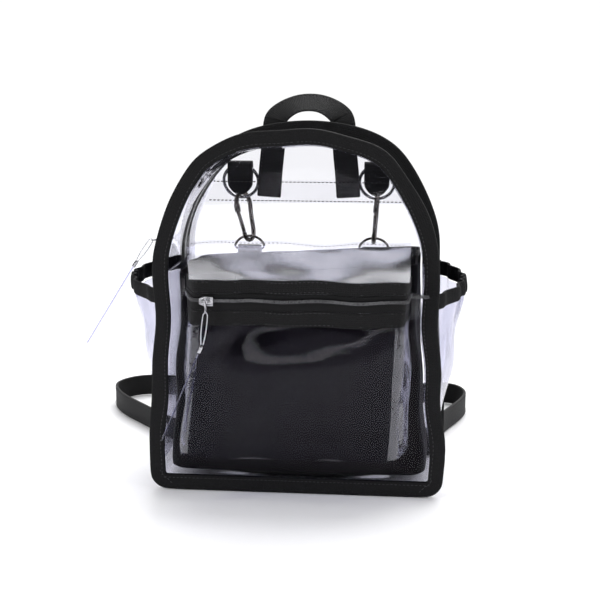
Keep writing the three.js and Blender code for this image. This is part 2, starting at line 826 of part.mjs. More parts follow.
// Top of the box pocket: slopes from the seam down to the band, in waves, with a flange on the panel
function pocketTopSheet() {
  const across = pocketTopWaves.map((row) => row.across);
  const seamLeft = pocketCentreX - pocketWidth / 2;
  const frontRow = pocketPlan(pocketFaceTop);
  const frontLeft = frontRow.left[frontRow.left.length - 4];
  const frontRight = frontRow.right[3];
  const line = (share, a) => {
    const wave = readRow(pocketTopWaves, "across", a, "rise") * pocketDepth * Math.sin(Math.PI * share);
    const left = THREE.MathUtils.lerp(seamLeft, frontLeft.x, share);
    const right = THREE.MathUtils.lerp(seamLeft + pocketWidth, frontRight.x, share);
    const x = THREE.MathUtils.lerp(left, right, a);
    const y = THREE.MathUtils.lerp(pocketEdge, pocketFront, share);
    return new THREE.Vector3(x, y, THREE.MathUtils.lerp(pocketSeamHeight, pocketFaceTop + gap, share) + wave);
  };
  const flange = across.map((a) => {
    const p = line(0, a);
    return new THREE.Vector3(p.x, pocketEdge, pocketSeamHeight + pocketFlange);
  });
  const grid = [flange, ...[0, 0.33, 0.66, 1].map((share) => across.map((a) => line(share, a)))];
  return sheetSolid(grid, -sheetWall);
}

addPiece("pocket_top", pocketTopSheet(), clearSheet());

// Black band with the pocket's zip, round the front and both sides
function bandStrip(from, to, wall) {
  return sheetSolid(spread(from, to, 1).map(wholePlan), wall);
}

const tapeTop = zipLine + pocketCoilWidth / 2;
const tapeFoot = zipLine - pocketCoilWidth / 2;
const bandUpperFoot = tapeTop + pocketTapeWidth / 2;
const bandLowerTop = tapeFoot - pocketTapeWidth * 0.8;
addPiece("pocket_band_upper", bandStrip(pocketFaceTop - gap, bandUpperFoot, bandWall), blackTape());
addPiece("pocket_band_lower", bandStrip(bandLowerTop, bandFoot, bandWall), blackTape());
addPiece("pocket_tape_upper", bandStrip(bandUpperFoot - gap, tapeTop + gap, sheetWall), zipBlack());
addPiece("pocket_tape_lower", bandStrip(tapeFoot - gap, bandLowerTop + gap, sheetWall), zipBlack());
addPiece("pocket_coil", bandStrip(tapeTop, tapeFoot, -pocketCoilHeight + sheetWall), zipBlack());

// A rod whose curve closes on itself
function closedRod(curve, radius, steps, sides) {
  const rings = [];
  const frames = curve.computeFrenetFrames(steps, true);
  for (let i = 0; i < steps; i += 1) {
    const centre = curve.getPointAt(i / steps);
    const ring = [];
    for (let k = 0; k < sides; k += 1) {
      const turn = (2 * Math.PI * k) / sides;
      const point = centre.clone().addScaledVector(frames.normals[i], radius * Math.cos(turn));
      ring.push(point.addScaledVector(frames.binormals[i], radius * Math.sin(turn)));
    }
    rings.push(ring);
  }
  return skinRings(rings);
}

// Zip sliders: a body that rides the coil, with an eye on its face
const sliderEyeHeight = linkWire + sliderEyeWall + 2 * gap;
const sliderEyeHalf = sliderWidth * 0.16;

function sliderGeometry() {
  const half = sliderLength / 2;
  const nose = sliderWidth * 0.28;
  const body = new THREE.Shape();
  body.moveTo(-half, -nose);
  body.lineTo(-half * 0.3, -sliderWidth / 2);
  body.lineTo(half, -sliderWidth / 2);
  body.lineTo(half, sliderWidth / 2);
  body.lineTo(-half * 0.3, sliderWidth / 2);
  body.lineTo(-half, nose);
  body.closePath();
  const plate = new THREE.ExtrudeGeometry(body, { depth: sliderHeight, bevelEnabled: false });
  const eye = new THREE.BoxGeometry(sliderLength * 0.55, 2 * sliderEyeHalf, 2 * sliderEyeHeight);
  eye.translate(0, 0, sliderHeight);
  const hole = new THREE.BoxGeometry(linkWire + 2 * gap + 1, sliderWidth, linkWire + 2 * gap);
  hole.translate(0, 0, sliderHeight + linkWire / 2 + gap);
  return geometryOf(solidOf(plate).add(solidOf(eye)).subtract(solidOf(hole)));
}

// A pull hangs from a slider's eye: a wire link, a loop of cord, a ferrule and a clear strip.
// It is laid out from the eye by where the link, the cord and the strip end, and by their side direction
function addPull(prefix, eye, narrow, linkEnd, cordEnd, tagEnd, aside) {
  const down = linkEnd.clone().sub(eye).normalize();
  const linkAt = (across, along) => eye.clone().addScaledVector(aside, across).addScaledVector(down, along);
  const length = linkEnd.distanceTo(eye);
  const link = new THREE.CatmullRomCurve3(
    [
      linkAt(0, 0),
      linkAt(narrow, linkWire * 0.6),
      linkAt(narrow, length * 0.55),
      linkAt(narrow, length - linkWire),
      linkAt(0, length),
      linkAt(-narrow, length - linkWire),
      linkAt(-narrow, length * 0.55),
      linkAt(-narrow, linkWire * 0.6),
    ],
    true,
  );
  addPiece(`${prefix}_pull_link`, closedRod(link, linkWire / 2, 20, 6), chrome());
  const fall = cordEnd.clone().sub(linkEnd).normalize();
  const depth = fall.clone().cross(aside).normalize();
  const reach = (linkWire + cordThickness) / 2 + 1.5 * gap;
  const top = cordEnd.clone().addScaledVector(fall, -2 * gap);
  const cordAt = (share, out, back = 0) => {
    const point = linkEnd.clone().lerp(top, share).addScaledVector(depth, out);
    return point.addScaledVector(fall, -back);
  };
  const cord = new THREE.CatmullRomCurve3([
    cordAt(1, ferruleWidth * 0.2),
    cordAt(0.6, ferruleWidth * 0.45),
    cordAt(0, reach),
    cordAt(0, reach * 0.75, reach * 0.75),
    cordAt(0, 0, reach),
    cordAt(0, -reach * 0.75, reach * 0.75),
    cordAt(0, -reach),
    cordAt(0.6, -ferruleWidth * 0.45),
    cordAt(1, -ferruleWidth * 0.2),
  ]);
  addPiece(`${prefix}_pull_cord`, rodAlong(cord, cordThickness / 2, 20, 6), clearCord());
  const lean = tagEnd.clone().sub(cordEnd).normalize();
  const ferruleEnd = cordEnd.clone().addScaledVector(lean, ferruleLength);
  const ferrule = [cordEnd, ferruleEnd].map((at) => ({ at, across: aside }));
  addPiece(`${prefix}_pull_ferrule`, ribbonSolid(ferrule, ferruleWidth, ferruleWidth * 0.7), chrome());
  const start = ferruleEnd.clone().addScaledVector(lean, gap);
  const tag = spread(0, 1, 4).map((t) => ({ at: start.clone().lerp(tagEnd, t), across: aside }));
  addPiece(`${prefix}_pull_tag`, ribbonSolid(tag, tagWidth, sheetWall), clearSheet());
}

// Slider of the box pocket, near the left end of its zip
const pocketSlider = addPiece("pocket_slider", sliderGeometry(), chrome());
pocketSlider.rotation.x = Math.PI / 2;
pocketSlider.position.set(pocketSliderX, pocketFront - pocketCoilHeight + sheetWall - gap, zipLine);
const pocketEye = new THREE.Vector3(
  pocketSliderX,
  pocketSlider.position.y - sliderHeight - sliderEyeHeight + sliderEyeWall / 2,
  zipLine + sliderEyeHalf + gap + linkWire / 2,
);
const pocketLinkEnd = pocketEye.clone().add(new THREE.Vector3(0, 0, -pocketLinkLength));
const pocketCordEnd = pocketLinkEnd.clone().add(new THREE.Vector3(-0.12, -0.04, -1).multiplyScalar(pocketCordFall));
const pocketTagLean = new THREE.Vector3(-0.39, -0.03, -0.92);
addPull(
  "pocket",
  pocketEye,
  (sliderEyeWall + linkWire) / 2 + gap,
  pocketLinkEnd,
  pocketCordEnd,
  pocketCordEnd.clone().addScaledVector(pocketTagLean, pocketTagLength),
  new THREE.Vector3(0, 1, 0),
);

// Slider of the main zip, low on the left side of the arch
const mainShare = 1 - shareAtHeight(mainSliderHeight);
const mainSeat = gussetInsetAt(mainShare, zipCentreY) + sheetWall - zipCoilHeight - gap;
const mainOut = outlinePoint(mainShare, 0, zipCentreY).sub(outlinePoint(mainShare, 1, zipCentreY));
const mainAlong = new THREE.Vector3(0, 1, 0).cross(mainOut);
const mainSlider = addPiece("main_slider", sliderGeometry(), chrome());
mainSlider.position.copy(outlinePoint(mainShare, mainSeat, zipCentreY));
mainSlider.quaternion.setFromRotationMatrix(
  new THREE.Matrix4().makeBasis(mainAlong, new THREE.Vector3(0, 1, 0), mainOut),
);
const mainEye = mainSlider.position.clone().addScaledVector(mainOut, sliderHeight + linkWire / 2 + gap);
const mainLinkEnd = mainEye.clone().add(new THREE.Vector3(-0.99, 0, -0.1).multiplyScalar(mainLinkLength));
const mainCordEnd = mainLinkEnd.clone().add(new THREE.Vector3(-0.58, 0, -0.82).multiplyScalar(mainCordFall));
addPull(
  "main",
  mainEye,
  sliderEyeHalf + linkWire / 2 + gap,
  mainLinkEnd,
  mainCordEnd,
  mainCordEnd.clone().add(new THREE.Vector3(-0.53, 0, -0.85).multiplyScalar(mainTagLength)),
  new THREE.Vector3(0, 1, 0),
);

// Carrying handle: webbing sewn flat to the back, whose crown tips back as it turns over
const webY = backFace + gap + webWall / 2;

function handleStops() {
  const half = handleLegSpacing / 2;
  const tilt = THREE.MathUtils.degToRad(handleTilt);
  const crown = bagHeight + handleRise;
  const side = [
    { x: 1.03, z: handleFoot, y: 0, turn: 0 },
    { x: 0.99, z: handleFoot + 0.3 * (bagHeight - handleFoot), y: 0, turn: 0 },
    { x: 0.94, z: handleFoot + 0.55 * (bagHeight - handleFoot), y: 0.4, turn: 0 },
    { x: 0.9, z: handleFoot + 0.78 * (bagHeight - handleFoot), y: 2.6, turn: 0.02 },
    { x: 0.86, z: bagHeight, y: 4, turn: 0.15 },
    { x: 0.7, z: bagHeight + handleRise * 0.45, y: 6, turn: 0.45 },
    { x: 0.36, z: bagHeight + handleRise * 0.88, y: 8, turn: 0.85 },
  ];
  const row = (sign) => (stop) => {
    const yaw = stop.turn * (Math.PI / 2);
    const across = new THREE.Vector3(Math.cos(yaw), Math.sin(yaw) * Math.cos(tilt), 0);
    across.z = Math.sin(yaw) * Math.sin(tilt);
    across.x *= sign;
    return { at: new THREE.Vector3(handleCentreX + sign * stop.x * half, webY + stop.y, stop.z), across };
  };
  const top = {
    at: new THREE.Vector3(handleCentreX, webY + 9, crown),
    across: new THREE.Vector3(0, Math.cos(tilt), Math.sin(tilt)),
  };
  return [...side.map(row(-1)), top, ...side.map(row(1)).reverse()];
}

// Fills in a path of ribbon stops with a smooth curve and evenly turning width direction
function fineStops(stops, perSpan) {
  const centre = new THREE.CatmullRomCurve3(stops.map((stop) => stop.at));
  const last = stops.length - 1;
  return spread(0, last, last * perSpan).map((place) => {
    const i = Math.min(Math.floor(place), last - 1);
    const across = stops[i].across.clone().lerp(stops[i + 1].across, place - i).normalize();
    return { at: centre.getPoint(place / last), across };
  });
}

addPiece("handle", ribbonSolid(fineStops(handleStops(), 3), webWidth, webWall), blackWebbing());

// Ring tabs: webbing folded over the top of a ring, its two legs sewn together inside the ring
const wireClear = ringWire / 2 + gap;
const tabInnerY = backFace + gap + webWall;
const tabWireY = tabInnerY + wireClear;
const tabWireZ = ringHeight + ringRadius;

function tabSheet() {
  const tilt = THREE.MathUtils.degToRad(ringTilt);
  const reach = ringRadius - ringWire / 2 - hookRod / 2 - gap;
  const shoulder = ringRadius - Math.sqrt(ringRadius ** 2 - (tabWidth / 2) ** 2);
  const rows = spread(-tabWidth / 2, tabWidth / 2, 4);
  const grid = rows.map((x) => {
    const foot = ringHeight - Math.sqrt(reach * reach - x * x);
    const point = (y, z) => new THREE.Vector3(x, y, z);
    const over = spread(Math.PI, 0, 5).map((turn) =>
      point(tabWireY + wireClear * Math.cos(turn), tabWireZ + wireClear * Math.sin(turn)),
    );
    const pinch = tabWireZ - 4 * ringWire;
    const outerLeg = [
      point(tabWireY + wireClear + shoulder * Math.sin(tilt) + gap, tabWireZ - shoulder - ringWire / 2),
      point(tabInnerY + gap + webWall * 0.4, pinch),
      point(tabInnerY + gap, foot),
    ];
    return [point(tabInnerY, foot), point(tabInnerY, pinch), ...over, ...outerLeg];
  });
  return sheetSolid(grid, -webWall);
}

function ringGeometry() {
  const ring = new THREE.TorusGeometry(ringRadius, ringWire / 2, 8, 22);
  ring.rotateX(Math.PI / 2);
  ring.translate(0, 0, -ringRadius);
  return ring;
}

// Snap hook in its own plane, from the top of its bow: a bent rod with a fork, and a gate that closes to its nose
const hookTopHalf = hookTopWidth / 2;
const hookBottomHalf = hookBottomWidth / 2;
const forkTop = -hookTopHalf - hookRod / 2;
const hingeDrop = forkTop - hingeEye / 2 - gap;
const noseTop = -(hookLength - hookBottomHalf - hookRod / 2);
const gateFoot = noseTop + gap;

function hookBodyGeometry() {
  const a = hookTopHalf;
  const b = hookBottomHalf;
  const low = -hookLength;
  const bend = new THREE.CatmullRomCurve3(
    [
      [-a, forkTop],
      [-a, -a],
      [-0.72 * a, -0.3 * a],
      [0, 0],
      [0.72 * a, -0.3 * a],
      [a, -a],
      [(a + b) / 2, low / 2],
      [b, low + b],
      [0.72 * b, low + 0.3 * b],
      [0, low],
      [-0.72 * b, low + 0.3 * b],
      [-b, low + b],
      [-b, noseTop],
    ].map(([x, z]) => new THREE.Vector3(x, 0, z)),
  );
  const rod = solidOf(rodAlong(bend, hookRod / 2, 30, 8));
  const cheekY = hingeLeaf / 2 + gap + hingeCheek / 2;
  const cheekHeight = hingeEye + 2 * gap + hookRod / 2;
  const cheeks = [-1, 1].map((side) => {
    const cheek = new THREE.BoxGeometry(hingeEye * 0.8, hingeCheek, cheekHeight);
    cheek.translate(-a, side * cheekY, forkTop + hookRod / 2 - cheekHeight / 2);
    return solidOf(cheek);
  });
  const pin = new THREE.CylinderGeometry(hingePin / 2, hingePin / 2, 2 * cheekY + hingeCheek, 8);
  pin.translate(-a, 0, hingeDrop);
  return geometryOf(rod.add(cheeks[0]).add(cheeks[1]).add(solidOf(pin)));
}

// Gate about its own hinge line
function hookGateGeometry() {
  const fall = new THREE.Vector3(hookTopHalf - hookBottomHalf, 0, gateFoot - hingeDrop);
  const start = fall.clone().normalize().multiplyScalar(hingeEye);
  const rod = solidOf(rodAlong(new THREE.LineCurve3(start, fall), gateRod / 2, 1, 8));
  const eye = new THREE.CylinderGeometry(hingeEye / 2, hingeEye / 2, hingeLeaf, 12);
  const tongue = new THREE.BoxGeometry(hingeEye * 0.7, hingeLeaf, hingeEye * 1.1);
  tongue.translate(0, 0, -hingeEye * 0.65);
  const bore = new THREE.CylinderGeometry(hingePin / 2 + gap, hingePin / 2 + gap, 2 * hingeLeaf, 12);
  return geometryOf(rod.add(solidOf(eye)).add(solidOf(tongue)).subtract(solidOf(bore)));
}

// Half ring that the hook holds, a flat bar below and an arch above, from the top of its arch
function baseRingGeometry() {
  const w = (baseRingWidth - baseRingWire) / 2;
  const h = baseRingHeight - baseRingWire;
  const curve = new THREE.CatmullRomCurve3(
    [
      [0, -h],
      [0.8 * w, -h],
      [w, -0.86 * h],
      [0.9 * w, -0.5 * h],
      [0.5 * w, -0.12 * h],
      [0, 0],
      [-0.5 * w, -0.12 * h],
      [-0.9 * w, -0.5 * h],
      [-w, -0.86 * h],
      [-0.8 * w, -h],
    ].map(([x, z]) => new THREE.Vector3(x, 0, z)),
    true,
  );
  return closedRod(curve, baseRingWire / 2, 22, 6);
}

// Shoulder strap: folded over the half ring's bar, then down, along the floor on edge and in to the corner
function strapSolid(side, route, bar) {
  const turnRadius = baseRingWire / 2 + gap + strapWall / 2;
  const level = new THREE.Vector3(1, 0, 0);
  const fold = [
    { at: new THREE.Vector3(bar.x, bar.y - strapWall / 2 - gap / 2, bar.z - strapFold), across: level },
    ...spread(Math.PI, 0, 6).map((turn) => {
      const y = bar.y + turnRadius * Math.cos(turn);
      return { at: new THREE.Vector3(bar.x, y, bar.z + turnRadius * Math.sin(turn)), across: level };
    }),
    { at: new THREE.Vector3(bar.x, bar.y + strapWall / 2 + gap / 2, bar.z - strapFold), across: level },
  ];
  const seatY = halfDepth + gap + strapWall / 2;
  const stops = route.map((row) => {
    const x = (side * row.out * bagWidth) / 2;
    const y = seatY + row.back * strapReach;
    const z = THREE.MathUtils.lerp(strapWidth / 2 + gap, bar.z, row.up);
    const turn = (row.turn * Math.PI) / 2;
    return { at: new THREE.Vector3(x, y, z), across: new THREE.Vector3(Math.cos(turn), 0, Math.sin(turn)) };
  });
  const lay = fineStops([fold[fold.length - 1], ...stops], 3);
  return ribbonSolid([...fold.slice(0, -1), ...lay], strapWidth, strapWall);
}

function addSuspension(name, side, turn, lean, route) {
  const x = tabCentreX + (side * tabSpacing) / 2;
  const hanger = new THREE.Group();
  hanger.position.set(x, 0, 0);
  backpack.add(hanger);
  addPiece(`ring_tab_${name}`, tabSheet(), blackWebbing(), hanger);
  const ring = addPiece(`ring_${name}`, ringGeometry(), chrome(), hanger);
  ring.position.set(0, tabWireY, tabWireZ);
  ring.rotation.x = THREE.MathUtils.degToRad(ringTilt);
  const hook = new THREE.Group();
  const tilt = THREE.MathUtils.degToRad(ringTilt);
  const ringLow = new THREE.Vector3(0, Math.sin(tilt), -Math.cos(tilt)).multiplyScalar(2 * ringRadius);
  ringLow.add(ring.position);
  hook.position.copy(ringLow);
  hook.rotation.order = "YXZ";
  hook.rotation.y = THREE.MathUtils.degToRad(-lean);
  hook.rotation.z = THREE.MathUtils.degToRad(turn);
  hanger.add(hook);
  const bowRise = wireClear + hookRod / 2;
  const body = addPiece(`hook_body_${name}`, hookBodyGeometry(), gunmetal(), hook);
  body.position.z = bowRise;
  const gate = addPiece(`hook_gate_${name}`, hookGateGeometry(), gunmetal(), hook);
  gate.position.set(-hookTopHalf, 0, bowRise + hingeDrop);
  const seat = (hookRod + baseRingWire) / 2 + gap;
  const hold = new THREE.Vector3(0, 0, bowRise - hookLength + seat);
  backpack.updateMatrixWorld(true);
  hook.localToWorld(hold);
  const baseRing = addPiece(`base_ring_${name}`, baseRingGeometry(), gunmetal());
  baseRing.position.copy(hold);
  const bar = hold.clone();
  bar.z -= baseRingHeight - baseRingWire;
  addPiece(`strap_${name}`, strapSolid(side, route, bar), blackWebbing());
}

addSuspension("left", -1, hookTurnLeft, hookLeanLeft, strapRouteLeft);
addSuspension("right", 1, hookTurnRight, hookLeanRight, strapRouteRight);

export default backpack;
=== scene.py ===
import math
import random

import bmesh
import bpy
import numpy as np
from mathutils import Matrix, Vector


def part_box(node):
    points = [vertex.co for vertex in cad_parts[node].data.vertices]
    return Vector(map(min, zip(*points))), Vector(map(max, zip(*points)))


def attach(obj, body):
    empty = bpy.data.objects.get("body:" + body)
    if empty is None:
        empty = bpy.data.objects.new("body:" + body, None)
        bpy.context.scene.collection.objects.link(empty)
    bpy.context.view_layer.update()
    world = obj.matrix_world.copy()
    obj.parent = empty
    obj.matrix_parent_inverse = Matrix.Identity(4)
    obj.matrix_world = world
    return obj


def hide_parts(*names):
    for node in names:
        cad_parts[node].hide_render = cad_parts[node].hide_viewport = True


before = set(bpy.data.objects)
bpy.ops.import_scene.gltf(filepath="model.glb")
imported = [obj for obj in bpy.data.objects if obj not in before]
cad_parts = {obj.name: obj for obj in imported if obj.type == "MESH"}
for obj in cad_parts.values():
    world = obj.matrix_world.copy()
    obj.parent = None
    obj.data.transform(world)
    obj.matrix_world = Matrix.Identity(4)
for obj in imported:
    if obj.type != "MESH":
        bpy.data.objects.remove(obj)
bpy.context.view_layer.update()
mm = 0.001
root = "bag"
print("frame loaded:", len(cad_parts), "CAD nodes")

# Camera: the bag stands a little turned, seen from just above its top
cameraSet = {
    "azimuth": 6.0,
    "elevation": 11.0,
    "distance": 1.031,
    "target": (0.004, -0.056, 0.1559),
    "lens": 80.7,
}


def addCamera(c):
    turn, rise = math.radians(c["azimuth"]), math.radians(c["elevation"])
    back = Vector((math.sin(turn) * math.cos(rise), -math.cos(turn) * math.cos(rise), math.sin(rise)))
    data = bpy.data.cameras.new("camera")
    data.lens = c["lens"]
    data.sensor_width = 36
    data.clip_start = 0.05
    camera = bpy.data.objects.new("camera", data)
    bpy.context.collection.objects.link(camera)
    camera.location = Vector(c["target"]) + back * c["distance"]
    camera.rotation_euler = (-back).to_track_quat("-Z", "Y").to_euler()
    bpy.context.scene.camera = camera


addCamera(cameraSet)


# Small helpers for picking, editing and finishing pieces
def pick(obj):
    bpy.ops.object.select_all(action="DESELECT")
    obj.select_set(True)
    bpy.context.view_layer.objects.active = obj


def useModifier(obj, kind, **values):
    pick(obj)
    mod = obj.modifiers.new(kind.lower(), kind)
    for key, value in values.items():
        setattr(mod, key, value)
    bpy.ops.object.modifier_apply(modifier=mod.name)


def readVerts(obj):
    co = np.empty(len(obj.data.vertices) * 3)
    obj.data.vertices.foreach_get("co", co)
    return co.reshape(-1, 3)


def writeVerts(obj, co):
    obj.data.vertices.foreach_set("co", co.astype(np.float32).ravel())
    obj.data.update()


def copyNode(node, name, toQuads=True):
    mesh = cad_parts[node].data.copy()
    obj = bpy.data.objects.new(name, mesh)
    bpy.context.collection.objects.link(obj)
    pick(obj)
    if mesh.has_custom_normals:
        bpy.ops.mesh.customdata_custom_splitnormals_clear()
    mesh.materials.clear()
    while mesh.uv_layers:
        mesh.uv_layers.remove(mesh.uv_layers[0])
    bpy.ops.object.mode_set(mode="EDIT")
    bpy.ops.mesh.select_all(action="SELECT")
    bpy.ops.mesh.remove_doubles(threshold=0.01 * mm)
    if toQuads:
        bpy.ops.mesh.tris_convert_to_quads(face_threshold=math.radians(50), shape_threshold=math.radians(170))
    bpy.ops.object.mode_set(mode="OBJECT")
    return obj


def creaseSharp(obj, angle, value):
    bm = bmesh.new()
    bm.from_mesh(obj.data)
    layer = bm.edges.layers.float.get("crease_edge") or bm.edges.layers.float.new("crease_edge")
    for edge in bm.edges:
        if len(edge.link_faces) == 2 and edge.calc_face_angle(0) > math.radians(angle):
            edge[layer] = value
    bm.to_mesh(obj.data)
    bm.free()


def smoothCopy(node, name, levels=2, sharp=48, crease=0.8):
    obj = copyNode(node, name)
    creaseSharp(obj, sharp, crease)
    useModifier(obj, "SUBSURF", levels=levels, render_levels=levels)
    return obj


def smoothFaces(obj, angle=40):
    pick(obj)
    bpy.ops.object.shade_smooth_by_angle(angle=math.radians(angle))


def settle(obj, finish, nodes=(), body=root, angle=40):
    smoothFaces(obj, angle)
    obj.data.materials.clear()
    obj.data.materials.append(finish)
    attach(obj, body)
    if nodes:
        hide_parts(*nodes)
    return obj


# Slow wandering waves, the same for every piece, so that neighbours move together
def waves(co, size, seed, stretch=(1, 1, 1), count=5):
    draw = random.Random(seed)
    total = np.zeros(len(co))
    scaled = co / (np.array(stretch) * size)
    for _ in range(count):
        heading = np.array([draw.gauss(0, 1) for _ in range(3)])
        heading *= 2 * math.pi * draw.uniform(0.6, 1.4) / np.linalg.norm(heading)
        total += np.sin(scaled @ heading + draw.uniform(0, 6.28))
    return total / count**0.5


def ease(value, start, end):
    share = np.clip((value - start) / (end - start), 0, 1)
    return share * share * (3 - 2 * share)


drift = {"size": 0.062, "amount": 0.0009, "floor": (0.003, 0.05), "back": (0.03, 0.05), "quiet": 0.022}
quietNodes = ["pocket_slider", "main_slider"]
quietSpots = [sum(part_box(node), Vector()) / 2 for node in quietNodes]


def looseness(co):
    loose = ease(co[:, 2], *drift["floor"]) * (1 - ease(co[:, 1], *drift["back"]))
    for spot in quietSpots:
        reach = np.linalg.norm(co - np.array(spot), axis=1)
        loose = loose * ease(reach, 0.4 * drift["quiet"], 2 * drift["quiet"])
    return loose


def driftBy(co):
    loose = looseness(co)[:, None] * drift["amount"]
    moved = [waves(co, drift["size"], seed) for seed in (11, 12, 13)]
    return co + loose * np.stack(moved, axis=1)


def letDrift(obj):
    writeVerts(obj, driftBy(readVerts(obj)))


# Places along a path: how far along it each point lies, how far off it, and on which stretch
def alongPath(co, path, closed=False):
    ends = np.vstack([path[1:], path[:1]]) if closed else path[1:]
    starts = path if closed else path[:-1]
    steps = ends - starts
    lengths = np.linalg.norm(steps, axis=1)
    before = np.concatenate([[0], np.cumsum(lengths)])
    place = np.empty(len(co))
    off = np.empty(len(co))
    which = np.empty(len(co), int)
    for first in range(0, len(co), 4000):
        part = co[first:first + 4000, None, :] - starts[None]
        share = np.clip((part * steps).sum(2) / (lengths**2), 0, 1)
        apart = np.linalg.norm(part - share[..., None] * steps, axis=2)
        best = apart.argmin(1)
        rows = np.arange(len(best))
        place[first:first + 4000] = before[best] + share[rows, best] * lengths[best]
        off[first:first + 4000] = apart[rows, best]
        which[first:first + 4000] = best
    return place, off, which, before[-1]


def writeUv(obj, along, across, loop=0.0):
    layer = obj.data.uv_layers.new(name="tapeUv")
    corners = np.empty(len(obj.data.loops), int)
    obj.data.loops.foreach_get("vertex_index", corners)
    u, v = along[corners], across[corners]
    if loop:
        for face in obj.data.polygons:
            span = slice(face.loop_start, face.loop_start + face.loop_total)
            if u[span].max() - u[span].min() > loop / 2:
                u[span] = np.where(u[span] < loop / 2, u[span] + loop, u[span])
    layer.data.foreach_set("uv", np.stack([u, v], axis=1).ravel())


# Outline of the bound seam, read from the outermost points of the front binding
bagMiddle = np.array([0, 0, 0.13])


def seamPath():
    co = np.array([v.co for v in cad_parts["front_binding"].data.vertices])
    edge = co[np.abs(co[:, 1] - (co[:, 1].min() + 0.8 * mm)) < 0.02 * mm]
    turn = np.arctan2(-edge[:, 0], -(edge - bagMiddle)[:, 2])
    order = np.argsort(turn)
    edge, turn = edge[order], turn[order]
    keep = np.concatenate([[True], np.diff(turn) > 1e-4])
    edge = edge[keep]
    edge[:, 1] = 0
    return edge


def roundedPath(points, perSpan, closed):
    count = len(points)
    fine = []
    for i in range(count if closed else count - 1):
        near = [(i + k) % count if closed else min(max(i + k, 0), count - 1) for k in (-1, 0, 1, 2)]
        for step in range(perSpan):
            t = step / perSpan
            a, b, c, d = (points[k] for k in near)
            fine.append(0.5 * (2 * b + (c - a) * t + (2 * a - 5 * b + 4 * c - d) * t * t
                               + (3 * b - a - 3 * c + d) * t**3))
    if not closed:
        fine.append(points[-1])
    return np.array(fine)


fineSeam = roundedPath(seamPath(), 4, True)


def seamUv(obj, depthFrom):
    co = readVerts(obj)
    flat = co * np.array([1, 0, 1])
    place, off, _, whole = alongPath(flat, fineSeam, True)
    writeUv(obj, place, off + np.abs(np.abs(co[:, 1]) - depthFrom), whole)


# Centre line and width direction of a ribbon, walked ring by ring through its mesh
def ribbonLine(node):
    probe = copyNode(node, "probe", toQuads=False)
    bm = bmesh.new()
    bm.from_mesh(probe.data)
    neighbours = [{e.other_vert(v).index for e in v.link_edges} for v in bm.verts]
    co = np.array([v.co for v in bm.verts])
    bm.free()
    bpy.data.objects.remove(probe)
    corners = [k for k, near in enumerate(neighbours) if len(near) == 4]
    mate = min(corners[1:], key=lambda k: np.linalg.norm(co[k] - co[corners[0]]))
    shared = sorted(neighbours[corners[0]] & neighbours[mate], key=lambda k: np.linalg.norm(co[k] - co[mate]))
    rings = [[corners[0], mate, *shared[:2]]]
    seen = set(rings[0])
    while len(seen) < len(co):
        rings.append(sorted({m for k in rings[-1] for m in neighbours[k]} - seen))
        seen |= set(rings[-1])
    centres = np.array([co[ring].mean(0) for ring in rings])
    widths = []
    for ring in rings:
        spread = co[ring] - co[ring].mean(0)
        width = np.linalg.svd(spread)[2][0]
        if widths and width @ widths[-1] < 0:
            width = -width
        widths.append(width)
    return centres, np.array(widths)


# Copies of one small shape along given places, as one mesh
def stamp(name, pattern, places):
    base = readVerts(pattern)
    faces = [list(f.vertices) for f in pattern.data.polygons]
    verts, joined = [], []
    for place in places:
        start = len(verts) * len(base)
        turn = np.array(place)
        verts.append(base @ turn[:3, :3].T + turn[:3, 3])
        joined += [[start + k for k in f] for f in faces]
    mesh = bpy.data.meshes.new(name)
    mesh.from_pydata(np.concatenate(verts).tolist(), [], joined)
    obj = bpy.data.objects.new(name, mesh)
    bpy.context.collection.objects.link(obj)
    return obj


def placeAt(at, along, up):
    x = Vector(along).normalized()
    z = (Vector(up) - x * Vector(up).dot(x)).normalized()
    y = z.cross(x)
    matrix = Matrix((x, y, z)).transposed().to_4x4()
    matrix.translation = Vector(at)
    return matrix


def threadShape():
    bpy.ops.object.select_all(action="DESELECT")
    bpy.ops.mesh.primitive_uv_sphere_add(segments=6, ring_count=4, radius=0.5)
    obj = bpy.context.object
    obj.name = "threadShape"
    writeVerts(obj, readVerts(obj)[:, [2, 1, 0]])
    bpy.ops.object.mode_set(mode="EDIT")
    bpy.ops.mesh.select_all(action="SELECT")
    bpy.ops.mesh.normals_make_consistent(inside=False)
    bpy.ops.object.mode_set(mode="OBJECT")
    return obj


def stitchRow(points, ups, pitch, length, thick):
    path = np.array(points)
    lengths = np.linalg.norm(np.diff(path, axis=0), axis=1)
    before = np.concatenate([[0], np.cumsum(lengths)])
    count = int(before[-1] / pitch)
    places = []
    for k in range(count):
        where = (k + 0.5) * pitch
        at = np.array([np.interp(where, before, path[:, i]) for i in range(3)])
        ahead = np.array([np.interp(where + 0.3 * pitch, before, path[:, i]) for i in range(3)])
        up = np.array([np.interp(where, before, np.array(ups)[:, i]) for i in range(3)])
        places.append(placeAt(at, ahead - at, up) @ Matrix.Diagonal((length, thick, thick * 0.8, 1)))
    return places


# Materials
def newMaterial(name):
    made = bpy.data.materials.new(name)
    made.use_nodes = True
    nodes = made.node_tree.nodes
    nodes.clear()
    return made, nodes, made.node_tree.links


def addNode(nodes, kind, **values):
    node = nodes.new(kind)
    for key, value in values.items():
        if key in node.bl_rna.properties:
            setattr(node, key, value)
        else:
            node.inputs[key.replace("_", " ")].default_value = value
    return node


def mathNode(nodes, links, operation, first, second):
    node = addNode(nodes, "ShaderNodeMath", operation=operation)
    for i, value in enumerate((first, second)):
        if isinstance(value, (int, float)):
            node.inputs[i].default_value = value
        else:
            links.new(value, node.inputs[i])
    return node.outputs[0]


